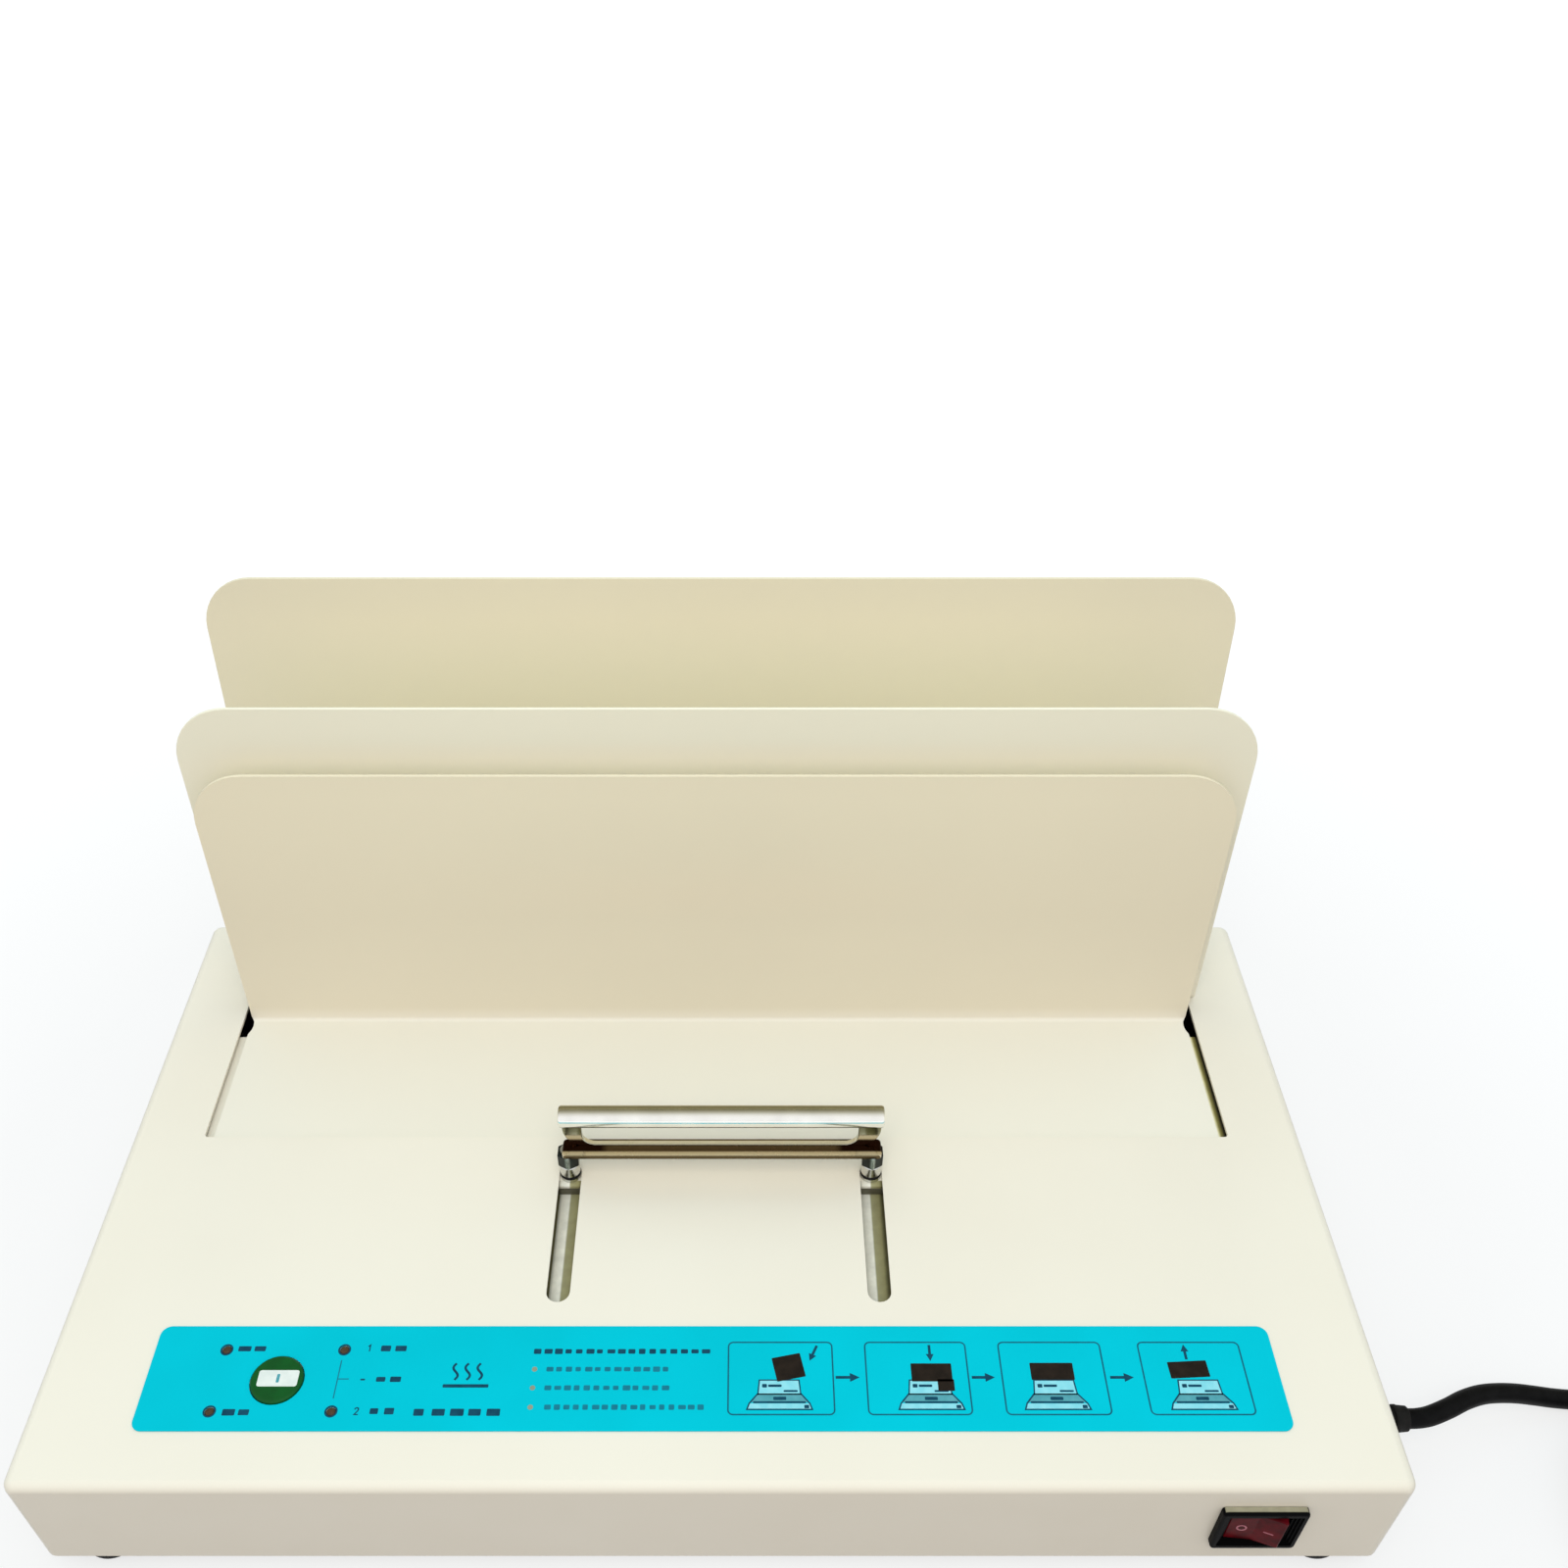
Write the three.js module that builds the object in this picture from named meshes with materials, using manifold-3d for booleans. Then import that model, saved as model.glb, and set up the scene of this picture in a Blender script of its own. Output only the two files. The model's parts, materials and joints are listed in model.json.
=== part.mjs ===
// Thermal binding machine: a low sheet-steel box that carries three upright panels.
// The front panel slides on its tongue when the chrome handle is pulled, which opens the heated slot
// in front of the middle panel. Behind the middle panel is the rack where bound books cool.
//
// Millimetres. x runs to the right, y to the back, z up. The machine stands on z = 0.
// The pieces are placed with y = 0 on the front wall, and the whole group is centred in y at the end.

import * as THREE from 'three';
import { mergeVertices } from 'three/addons/utils/BufferGeometryUtils.js';
import Module from 'manifold-3d';

const wasm = await Module();
wasm.setup();

// Body
const bodyWidth = 442.4;
const bodyDepth = 258;
const bodyHeight = 46.5;
const footHeight = 10;
const footRadius = 10;
const footInsetX = 17;
const footInsetY = 13;
const sheet = 1.2;
const fit = 0.3;
const overrun = 5;
const edgeRadius = 3.2;
const cornerRadius = 4;
const foldRadius = 1.6;

// Upright panels
const frontPanelMargin = 30.2;
const frontPanelWidth = bodyWidth - 2 * frontPanelMargin;
const frontPanelHeight = 118.2;
const frontPanelSetIn = 56;
const frontPanelY = bodyDepth - frontPanelSetIn;
const frontPanelCornerRadius = 21;
const frontPanelLean = THREE.MathUtils.degToRad(3);
const slotGap = 8.3;
const middlePanelMargin = 25.5;
const middlePanelWidth = bodyWidth - 2 * middlePanelMargin;
const middlePanelHeight = 140;
const middlePanelY = frontPanelY + sheet + slotGap;
const middlePanelCornerRadius = 22;
const middlePanelShift = 0.8;
const middlePanelFoot = 15;
const rearPanelMargin = 25;
const rearPanelWidth = bodyWidth - 2 * rearPanelMargin;
const rearPanelHeight = 158;
const rearPanelCornerRadius = 20;
const rearPanelShift = 1.7;
const rearPanelSkirt = 38;
const rearPanelLean = THREE.MathUtils.degToRad(7);

// Clamp: the tongue under the cover, its opening and its travel
const clampTravel = 50;
const openingFrontSpare = 12.5;
const openingRearLip = 1.5;
const openingSideGap = 2.9;
const openingFrontY = frontPanelY - clampTravel - openingFrontSpare;
const openingRearY = middlePanelY - openingRearLip;
const tongueOverlap = 22;
const tongueFrontY = openingFrontY - tongueOverlap;
const openingCornerRadius = 1.5;
const reliefRadius = 9;
const reliefOutside = 7.7;
const reliefForward = 3.5;
const reliefHalfLength = Math.sqrt(reliefRadius ** 2 - reliefOutside ** 2);
const springSpacing = 200;
const springTabWidth = 16;
const springRadius = 3.5;
const springWireRadius = 0.6;
const springEyeClearance = 0.8;
const springHoleRadius = springWireRadius + springEyeClearance;
const springEyeEdge = 2;
const springLugSetIn = 12;
const springLugY = bodyDepth - springLugSetIn;
const springHook = 8;

// Handle, posts and slots
const handleOffsetX = 1.9;
const postSpacing = 111;
const postSetBack = 17;
const postY = openingFrontY - postSetBack;
const studRadius = 2.4;
const studHeadLip = 1.2;
const studHeadRadius = studRadius + studHeadLip;
const sleeveBore = studRadius + fit;
const sleeveWall = 1.05;
const sleeveRadius = sleeveBore + sleeveWall;
const handleEndMargin = 3;
const handleWidth = postSpacing + 2 * handleEndMargin;
const handleBarRadius = 4;
const handleBarHeight = 32.4;
const handleBaseHeight = 13.4;
const handleBaseEdge = 1.5;
const handleBaseDepth = 2 * (sleeveBore + handleBaseEdge);
const handleBaseThickness = 1.5;
const handleWebThickness = 2;
const handleWebCornerRadius = 9;
const handleWindowSill = 0.4;
const handleWindowMargin = 8.5;
const handleWindowWidth = handleWidth - 2 * handleWindowMargin;
const handleWindowLap = 0.5;
const handleWindowCornerRadius = 5;
const sleeveHeight = 6.8;
const ringHeight = 1.1;
const ringDepth = 0.7;
const ringStandOff = 0.5;
const nutAcross = 8;
const slotClearance = 0.35;
const slotFrontSpare = 1.5;

// Guide rails and shoes under the slots
const shoeFrontReach = 5;
const shoeRearReach = 17.5;
const shoeHeight = 3.4;
const shoeWall = 0.7;
const shoeBoltRecess = 1.9;
const shoeBoltHeadLip = 1.6;
const shoeBoltHeadRadius = studRadius + shoeBoltHeadLip;
const shoeWidth = 2 * (shoeBoltHeadRadius + fit + shoeWall);
const railInnerWidth = shoeWidth + 2 * fit;
const railFrontSpare = 12.5;
const railRearSpare = 8;
const railFrontY = postY - clampTravel - shoeFrontReach - railFrontSpare;
const railRearY = postY + shoeRearReach + railRearSpare;
const railDepth = shoeHeight + sheet + fit;
const railFoot = 14;

// Heater under the slot
const plateDrop = 16;
const plateEndMargin = 3;
const plateRearMargin = 3.5;
const plateLength = frontPanelWidth - 2 * plateEndMargin;
const plateFrontY = frontPanelY - clampTravel;
const plateRearY = middlePanelY - plateRearMargin;
const plateThickness = 4;
const plateFlangeHeight = 9.3;
const plateFlangeThickness = 3;
const elementLeftMargin = 8;
const elementRightMargin = 48;
const elementLeftX = elementLeftMargin - plateLength / 2;
const elementRightX = plateLength / 2 - elementRightMargin;
const elementThickness = 2.3;
const insulationThickness = 6.2;
const bracketInsetX = 0.4;
const bracketLedge = 12;
const bracketFoot = 15;
const bracketLip = 6.5;
const bracketSpare = 2;
const bracketFrontY = plateFrontY - bracketSpare;
const finSetBack = 2.5;
const finFrontY = tongueFrontY + finSetBack;
const thermostatMargin = 23;
const thermostatX = plateLength / 2 - thermostatMargin;
const thermostatRadius = 7.5;
const thermostatHeight = 8.4;
const thermostatTabWidth = 5;
const thermostatTabLength = 6;
const fuseMargin = 33;
const fuseX = plateLength / 2 - fuseMargin;
const fuseRadius = 2;
const fuseLength = 11;
const fuseLeadRadius = 0.5;
const fuseLeadLength = 7;

// Control label, start button, lamps and their board
const labelLeftMargin = 35.3;
const labelRightMargin = 34.1;
const labelLeftX = labelLeftMargin - bodyWidth / 2;
const labelRightX = bodyWidth / 2 - labelRightMargin;
const labelFrontY = 19.3;
const labelRearY = 57.5;
const labelThickness = 0.4;
const labelCornerRadius = 3.5;
const labelGap = 0.1;
const buttonInset = 78.5;
const buttonX = buttonInset - bodyWidth / 2;
const buttonY = 37.3;
const buttonRadius = 8.6;
const buttonRise = 1.4;
const buttonEdge = 0.7;
const buttonFlangeLip = 1.8;
const buttonFlangeRadius = buttonRadius + buttonFlangeLip;
const buttonFlangeThickness = 1.2;
const buttonTravel = 0.5;
const lampSpacingX = 39.3;
const lampInset = 78.85;
const lampCentreX = lampInset - bodyWidth / 2;
const lampFrontY = 26.1;
const lampRearY = 48.5;
const lampRadius = 1.5;
const lampRise = 0.9;
const lampSpacerLip = 0.4;
const lampSpacerRadius = lampRadius + lampSpacerLip;
const lampSpacerHeight = 4;
const boardWidth = 78;
const boardDepth = 40;
const boardThickness = 1.6;
const boardDrop = 7.5;
const pushSwitchWidth = 12;
const pushSwitchHeight = 3.2;
const plungerRadius = 3.4;
const boardBracketLedge = 10;
const boardBracketDepth = 24;
const relayWidth = 15;
const relayDepth = 19;
const relayHeight = 15;
const chipWidth = 7;
const chipLength = 23;
const chipHeight = 3.4;

// Mains side: rocker switch, transformer, terminal block
const switchInset = 45.7;
const switchX = bodyWidth / 2 - switchInset;
const switchBelowTop = 23;
const rockerWidth = 17;
const rockerHeight = 16.6;
const rockerSideClearance = 1.4;
const housingSideWall = 2.1;
const housingTopWall = 1.6;
const housingWidth = rockerWidth + 2 * (rockerSideClearance + housingSideWall);
const housingHeight = rockerHeight + 2 * (fit + housingTopWall);
const housingDepth = 22;
const cavityDepth = 9.5;
const bezelLip = 1.7;
const bezelWidth = housingWidth + 2 * bezelLip;
const bezelHeight = housingHeight + 2 * bezelLip;
const bezelThickness = 2;
const bezelEdge = 0.8;
const bezelFlare = 2.2;
const rockerPivotY = 3;
const rockerValley = 4.6;
const rockerSideDepth = 3.1;
const rockerHubHalf = 3.5;
const rockerFacet = THREE.MathUtils.degToRad(7);
const rockerTilt = THREE.MathUtils.degToRad(13);
const rockerPinRadius = 1.5;
const rockerPinLength = 0.9;
const spadeWidth = 6.3;
const spadeThickness = 0.8;
const spadeLength = 8;
const spadeSpacing = 7;
const transformerInset = 86.2;
const transformerX = bodyWidth / 2 - transformerInset;
const transformerY = 44;
const coreWidth = 44;
const coreDepth = 18;
const coreHeadroom = 5;
const coreLegWidth = 14;
const coreYoke = 7;
const windingDepth = 34;
const terminalInset = 33.2;
const terminalX = bodyWidth / 2 - terminalInset;
const terminalY = 80;
const terminalWidth = 30;
const terminalDepth = 16;
const terminalHeight = 14;
const terminalWellRadius = 2.6;
const terminalWellDepth = 9;
const terminalPitch = 9;

// Screws
const screwHeadRadius = 3.1;
const screwHeadHeight = 1.8;
const screwShankRadius = 1.4;
const screwShankLength = 6;
const screwHoleRadius = screwShankRadius + fit;
const sideScrewFrontY = 72;
const sideScrewSetIn = 44;
const sideScrewRearY = bodyDepth - sideScrewSetIn;
const sideScrewHeight = 7;
const rearScrewMargin = 45;
const rearScrewSpacing = rearPanelWidth / 2 - rearScrewMargin;
const rearScrewBelowTop = 20;
const middleScrewMargin = 30;
const middleScrewSpacing = middlePanelWidth / 2 - middleScrewMargin;
const trayFlangeHeight = 12;
const trayGap = 0.3;
const ventCount = 8;
const ventPitch = 34;
const ventWidth = 4;
const ventLength = 30;
const ventY = (plateFrontY + plateRearY) / 2;
const footNeckRadius = 3.2;
const footBarbLip = 1;
const footBarbRadius = footNeckRadius + footBarbLip;
const footBarbHeight = 2.6;
const footChamfer = 1.2;

// Mains cord, its strain relief and its plug
const cordDiameter = 7;
const cordSides = 10;
const reliefY = 44;
const reliefHeight = 19.8;
const reliefLength = 20;
const reliefRootRadius = 6.4;
const reliefTipRadius = 4.4;
const reliefNeckRadius = 5.4;
const reliefNutRadius = 7.4;
const reliefNutLength = 3;
const reliefGrooveDepth = 0.9;
const reliefGrooveWidth = 1.6;
const coilOuterRadius = 53.2;
const coilTurns = 6;
const coilGap = 0.45;
const coilPitch = cordDiameter + coilGap;
const coilStepsPerTurn = 24;
const coilSides = 6;
const plugLength = 36;
const plugWidth = 29;
const plugThickness = 19;
const plugNeckLength = 14;
const plugNeckRadius = 5.2;
const plugCornerRadius = 6;
const pinLength = 18;
const pinWidth = 6.2;
const pinThickness = 1.6;
const pinSpread = 14;
const pinSlant = THREE.MathUtils.degToRad(30);
const pinDrop = 4.4;
const earthPinRise = 5;

// Heights that follow from the sizes above
const topZ = footHeight + bodyHeight;
const coverUnderZ = topZ - sheet;
const trayTopZ = footHeight + sheet;
const standZ = trayTopZ + fit;
const tongueTopZ = coverUnderZ - fit;
const tongueUnderZ = tongueTopZ - sheet;
const railTopZ = tongueUnderZ - fit;
const plateTopZ = topZ - plateDrop;
const plateUnderZ = plateTopZ - plateThickness;
const ledgeTopZ = plateUnderZ - plateFlangeHeight - fit;
const boardTopZ = coverUnderZ - boardDrop;
const insulationUnderZ = plateUnderZ - 2 * fit - elementThickness - insulationThickness;
const springZ = (trayTopZ + insulationUnderZ) / 2;
const switchZ = topZ - switchBelowTop;
const coreHeight = railTopZ - coreHeadroom - standZ;
const cordRadius = cordDiameter / 2;

// Unit vectors for laying a drawn outline across the machine
const unitX = new THREE.Vector3(1, 0, 0);
const unitY = new THREE.Vector3(0, 1, 0);
const unitZ = new THREE.Vector3(0, 0, 1);
const foldSteps = 4;
const roundSteps = 5;

// A closed geometry as a solid that can be joined and cut
function solid(geometry) {
  geometry.deleteAttribute('normal');
  geometry.deleteAttribute('uv');
  const merged = mergeVertices(geometry);
  const vertProperties = new Float32Array(merged.attributes.position.array);
  const triVerts = new Uint32Array(merged.index.array);
  return new wasm.Manifold(new wasm.Mesh({ numProp: 3, vertProperties, triVerts }));
}

// A solid as a geometry with flat faces
function geometryOf(body) {
  const mesh = body.getMesh();
  const geometry = new THREE.BufferGeometry();
  geometry.setAttribute('position', new THREE.BufferAttribute(new Float32Array(mesh.vertProperties), 3));
  geometry.setIndex(new THREE.BufferAttribute(new Uint32Array(mesh.triVerts), 1));
  geometry.computeVertexNormals();
  return geometry;
}

function join(first, ...others) {
  return others.reduce((whole, piece) => whole.add(piece), first);
}

function cut(body, ...tools) {
  return tools.reduce((rest, tool) => rest.subtract(tool), body);
}

function box(x0, x1, y0, y1, z0, z1) {
  const geometry = new THREE.BoxGeometry(x1 - x0, y1 - y0, z1 - z0);
  geometry.translate((x0 + x1) / 2, (y0 + y1) / 2, (z0 + z1) / 2);
  return solid(geometry);
}

// A profile of [radius, height] pairs turned round the z axis, then stood at a place
function turned(profile, sides, x, y, z) {
  const points = profile.map(([radius, height]) => new THREE.Vector2(radius, height));
  const geometry = new THREE.LatheGeometry(points, sides);
  geometry.rotateX(Math.PI / 2);
  geometry.translate(x, y, z);
  return solid(geometry);
}

// The same, lying along x (towards +x from the place) or along y (towards +y)
function turnedAlongX(profile, sides, x, y, z) {
  const points = profile.map(([radius, length]) => new THREE.Vector2(radius, length));
  const geometry = new THREE.LatheGeometry(points, sides);
  geometry.rotateZ(-Math.PI / 2);
  geometry.translate(x, y, z);
  return solid(geometry);
}

function turnedAlongY(profile, sides, x, y, z) {
  const points = profile.map(([radius, length]) => new THREE.Vector2(radius, length));
  const geometry = new THREE.LatheGeometry(points, sides);
  geometry.translate(x, y, z);
  return solid(geometry);
}

const rodProfile = (radius, length) => [[0, 0], [radius, 0], [radius, length], [0, length]];

// An outline drawn flat in x and y, raised from z0 to z1
function raised(shape, z0, z1) {
  const geometry = new THREE.ExtrudeGeometry(shape, { depth: z1 - z0, bevelEnabled: false, curveSegments: roundSteps });
  geometry.translate(0, 0, z0);
  return solid(geometry);
}

// An outline drawn in y and z, carried along x
function alongX(shape, x0, x1) {
  const geometry = new THREE.ExtrudeGeometry(shape, { depth: x1 - x0, bevelEnabled: false, curveSegments: roundSteps });
  geometry.applyMatrix4(new THREE.Matrix4().makeBasis(unitY, unitZ, unitX));
  geometry.translate(x0, 0, 0);
  return solid(geometry);
}

// An outline drawn in x and z, carried along y
function alongY(shape, y0, y1) {
  const geometry = new THREE.ExtrudeGeometry(shape, { depth: y1 - y0, bevelEnabled: false, curveSegments: roundSteps });
  geometry.applyMatrix4(new THREE.Matrix4().makeBasis(unitX, unitZ, unitY.clone().negate()));
  geometry.translate(0, y1, 0);
  return solid(geometry);
}

// A rectangle with its four corners rounded alike
function roundedRectangle(x0, x1, y0, y1, radius) {
  const shape = new THREE.Shape();
  shape.absarc(x1 - radius, y0 + radius, radius, -Math.PI / 2, 0, false);
  shape.absarc(x1 - radius, y1 - radius, radius, 0, Math.PI / 2, false);
  shape.absarc(x0 + radius, y1 - radius, radius, Math.PI / 2, Math.PI, false);
  shape.absarc(x0 + radius, y0 + radius, radius, Math.PI, 1.5 * Math.PI, false);
  shape.closePath();
  return shape;
}

// A slot with round ends that runs along y
function slotOutline(x, y0, y1, width) {
  const radius = width / 2;
  const shape = new THREE.Shape();
  shape.absarc(x, y1 - radius, radius, 0, Math.PI, false);
  shape.absarc(x, y0 + radius, radius, Math.PI, 2 * Math.PI, false);
  shape.closePath();
  return shape;
}

// An upright panel seen from the front: square at the foot, its two top corners rounded
function panelOutline(width, z0, z1, radius) {
  const half = width / 2;
  const shape = new THREE.Shape();
  shape.moveTo(-half, z0);
  shape.lineTo(half, z0);
  shape.absarc(half - radius, z1 - radius, radius, 0, Math.PI / 2, false);
  shape.absarc(radius - half, z1 - radius, radius, Math.PI / 2, Math.PI, false);
  shape.closePath();
  return shape;
}

// The edge view of a folded sheet: its middle line runs through the corners and is rounded at each fold
function foldedSheet(corners) {
  const half = sheet / 2;
  const radius = foldRadius + half;
  const origin = new THREE.Vector2(0, 0);
  const points = corners.map(([across, up]) => new THREE.Vector2(across, up));
  const normalTo = (run) => new THREE.Vector2(-run.y, run.x);
  const left = [];
  const right = [];
  const put = (at, normal) => {
    left.push(at.clone().addScaledVector(normal, half));
    right.push(at.clone().addScaledVector(normal, -half));
  };
  points.forEach((point, i) => {
    const before = i > 0 ? point.clone().sub(points[i - 1]).normalize() : null;
    const after = i < points.length - 1 ? points[i + 1].clone().sub(point).normalize() : null;
    if (!before || !after) {
      put(point, normalTo(before ?? after));
      return;
    }
    const turn = Math.atan2(before.cross(after), before.dot(after));
    const side = Math.sign(turn);
    const start = point.clone().addScaledVector(before, -radius * Math.tan(Math.abs(turn) / 2));
    const centre = start.clone().addScaledVector(normalTo(before), side * radius);
    for (let step = 0; step <= foldSteps; step++) {
      const normal = normalTo(before).rotateAround(origin, (turn * step) / foldSteps);
      put(centre.clone().addScaledVector(normal, -side * radius), normal);
    }
  });
  return new THREE.Shape([...left, ...right.reverse()]);
}

// A block with rounded upright edges and rounded top edges, open to be cut off at its foot
function foldedBox(halfWidth, y0, y1, z0, z1, corner, edge) {
  const flat = roundedRectangle(-halfWidth + edge, halfWidth - edge, y0 + edge, y1 - edge, corner - edge);
  const geometry = new THREE.ExtrudeGeometry(flat, {
    depth: z1 - z0 - 2 * edge,
    bevelSize: edge,
    bevelThickness: edge,
    bevelSegments: 3,
    curveSegments: 2,
  });
  geometry.translate(0, 0, z0 + edge);
  return solid(geometry);
}

// A tube along a curve, with a regular section
function tube(curve, radius, sides, steps) {
  const ring = [];
  for (let k = 0; k < sides; k++) {
    const angle = (2 * Math.PI * k) / sides;
    ring.push(new THREE.Vector2(radius * Math.cos(angle), radius * Math.sin(angle)));
  }
  return solid(new THREE.ExtrudeGeometry(new THREE.Shape(ring), { steps, extrudePath: curve, bevelEnabled: false }));
}

const machine = new THREE.Group();

const material = (color, roughness, metalness) => new THREE.MeshStandardMaterial({ color, roughness, metalness });
const ivoryPaint = () => material(0xe9e5d3, 0.45, 0);
const chrome = () => material(0xd8d8d6, 0.12, 1);
const zincSteel = () => material(0xa9aba6, 0.4, 0.9);
const darkSteel = () => material(0x35383a, 0.35, 0.9);
const aluminium = () => material(0xb9bcc0, 0.35, 0.9);
const blackRubber = () => material(0x121212, 0.8, 0);
const blackPlastic = () => material(0x17181a, 0.4, 0);
const whiteNylon = () => material(0xe8e6df, 0.5, 0);

function add(name, body, finish) {
  const mesh = new THREE.Mesh(geometryOf(body), finish);
  mesh.name = name;
  machine.add(mesh);
}

const sides = [['left', -1], ['right', 1]];
const postX = (side) => handleOffsetX + (side * postSpacing) / 2;
const lampPlaces = [
  ['rear_left', lampCentreX - lampSpacingX / 2, lampRearY],
  ['rear_right', lampCentreX + lampSpacingX / 2, lampRearY],
  ['front_left', lampCentreX - lampSpacingX / 2, lampFrontY],
  ['front_right', lampCentreX + lampSpacingX / 2, lampFrontY],
];
const footPlaces = [
  ['front_left', footInsetX - bodyWidth / 2, footInsetY],
  ['front_right', bodyWidth / 2 - footInsetX, footInsetY],
  ['rear_left', footInsetX - bodyWidth / 2, bodyDepth - footInsetY],
  ['rear_right', bodyWidth / 2 - footInsetX, bodyDepth - footInsetY],
];
const sideScrewPlaces = [['front', sideScrewFrontY], ['rear', sideScrewRearY]];
const rearScrewPlaces = [['left', -rearScrewSpacing], ['middle', 0], ['right', rearScrewSpacing]];
const middleScrewPlaces = [['left', -middleScrewSpacing], ['middle', 0], ['right', middleScrewSpacing]];
const middleScrewY = middlePanelY + sheet + middlePanelFoot / 2;
const rearScrewZ = topZ - rearScrewBelowTop;
const sideScrewZ = footHeight + sideScrewHeight;
const slotWidth = 2 * (sleeveRadius + slotClearance);
const slotRearY = postY + sleeveRadius + slotClearance;
const slotFrontY = postY - clampTravel - sleeveRadius - slotFrontSpare;

// The cover: one folded sheet box, open below, with every opening that the photograph shows in it
function topCover() {
  const half = bodyWidth / 2;
  const outer = foldedBox(half, 0, bodyDepth, footHeight - edgeRadius, topZ, cornerRadius, edgeRadius);
  const inner = foldedBox(
    half - sheet, sheet, bodyDepth - sheet, footHeight - edgeRadius - overrun, coverUnderZ,
    cornerRadius - sheet, edgeRadius - sheet,
  );
  const below = box(-bodyWidth, bodyWidth, -overrun, bodyDepth + overrun, -overrun, footHeight);
  const openingHalf = frontPanelWidth / 2 + openingSideGap;
  const opening = roundedRectangle(-openingHalf, openingHalf, openingFrontY, openingRearY, openingCornerRadius);
  let cover = cut(outer, inner, below, raised(opening, coverUnderZ - overrun, topZ + overrun));
  for (const [, side] of sides) {
    const slot = slotOutline(postX(side), slotFrontY, slotRearY, slotWidth);
    cover = cut(cover, raised(slot, coverUnderZ - overrun, topZ + overrun));
    for (const [, y] of sideScrewPlaces) {
      const hole = rodProfile(screwHoleRadius, 2 * overrun);
      cover = cut(cover, turnedAlongX(hole, 12, side * half - overrun, y, sideScrewZ));
    }
  }
  const upright = (radius) => rodProfile(radius, 2 * overrun);
  const topHole = (x, y, radius, count) => turned(upright(radius), count, x, y, topZ - overrun);
  cover = cut(cover, topHole(buttonX, buttonY, buttonRadius + fit, 32));
  for (const [, x, y] of lampPlaces) cover = cut(cover, topHole(x, y, lampRadius + fit / 2, 16));
  for (const [, x] of middleScrewPlaces) cover = cut(cover, topHole(x, middleScrewY, screwHoleRadius, 12));
  for (const [, x] of rearScrewPlaces) {
    cover = cut(cover, turnedAlongY(upright(screwHoleRadius), 12, x, bodyDepth - overrun, rearScrewZ));
  }
  const cordHole = turnedAlongX(upright(reliefNeckRadius + fit), 20, half - overrun, reliefY, reliefHeight);
  const switchHole = box(
    switchX - housingWidth / 2 - fit, switchX + housingWidth / 2 + fit, -overrun, overrun,
    switchZ - housingHeight / 2 - fit, switchZ + housingHeight / 2 + fit,
  );
  return cut(cover, cordHole, switchHole);
}

// The tray that closes the cover from below: turned-up rim, vents under the heater, two spring lugs
function baseTray() {
  const half = bodyWidth / 2 - sheet - trayGap;
  const y0 = sheet + trayGap;
  const y1 = bodyDepth - sheet - trayGap;
  const corner = cornerRadius - sheet;
  const rimTopZ = footHeight + trayFlangeHeight;
  const outer = raised(roundedRectangle(-half, half, y0, y1, corner), footHeight, rimTopZ);
  const innerOutline = roundedRectangle(
    sheet - half, half - sheet, y0 + sheet, y1 - sheet, corner - sheet,
  );
  let tray = cut(outer, raised(innerOutline, trayTopZ, rimTopZ + overrun));
  for (const [, x, y] of footPlaces) {
    const neckHole = rodProfile(footNeckRadius + fit, 2 * overrun);
    tray = cut(tray, turned(neckHole, 16, x, y, footHeight - overrun));
  }
  for (let k = 0; k < ventCount; k++) {
    const x = (k - (ventCount - 1) / 2) * ventPitch;
    const vent = slotOutline(x, ventY - ventLength / 2, ventY + ventLength / 2, ventWidth);
    tray = cut(tray, raised(vent, footHeight - overrun, trayTopZ + overrun));
  }
  for (const [, side] of sides) {
    for (const [, y] of sideScrewPlaces) {
      const hole = rodProfile(screwHoleRadius, 2 * overrun);
      tray = cut(tray, turnedAlongX(hole, 12, side * half - overrun, y, sideScrewZ));
    }
    const x = (side * springSpacing) / 2;
    const lug = box(
      x - springTabWidth / 2, x + springTabWidth / 2, springLugY, springLugY + sheet,
      trayTopZ - sheet / 2, springZ + springHoleRadius + springEyeEdge,
    );
    const eye = turnedAlongY(rodProfile(springHoleRadius, 2 * overrun), 12, x, springLugY - overrun, springZ);
    tray = join(tray, cut(lug, eye));
  }
  const reliefNotch = rodProfile(reliefNutRadius + fit, 2 * overrun);
  const switchNotch = box(
    switchX - housingWidth / 2 - fit, switchX + housingWidth / 2 + fit, 0, y0 + overrun,
    switchZ - housingHeight / 2 - fit, topZ,
  );
  return cut(tray, turnedAlongX(reliefNotch, 16, half - overrun, reliefY, reliefHeight), switchNotch);
}

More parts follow.
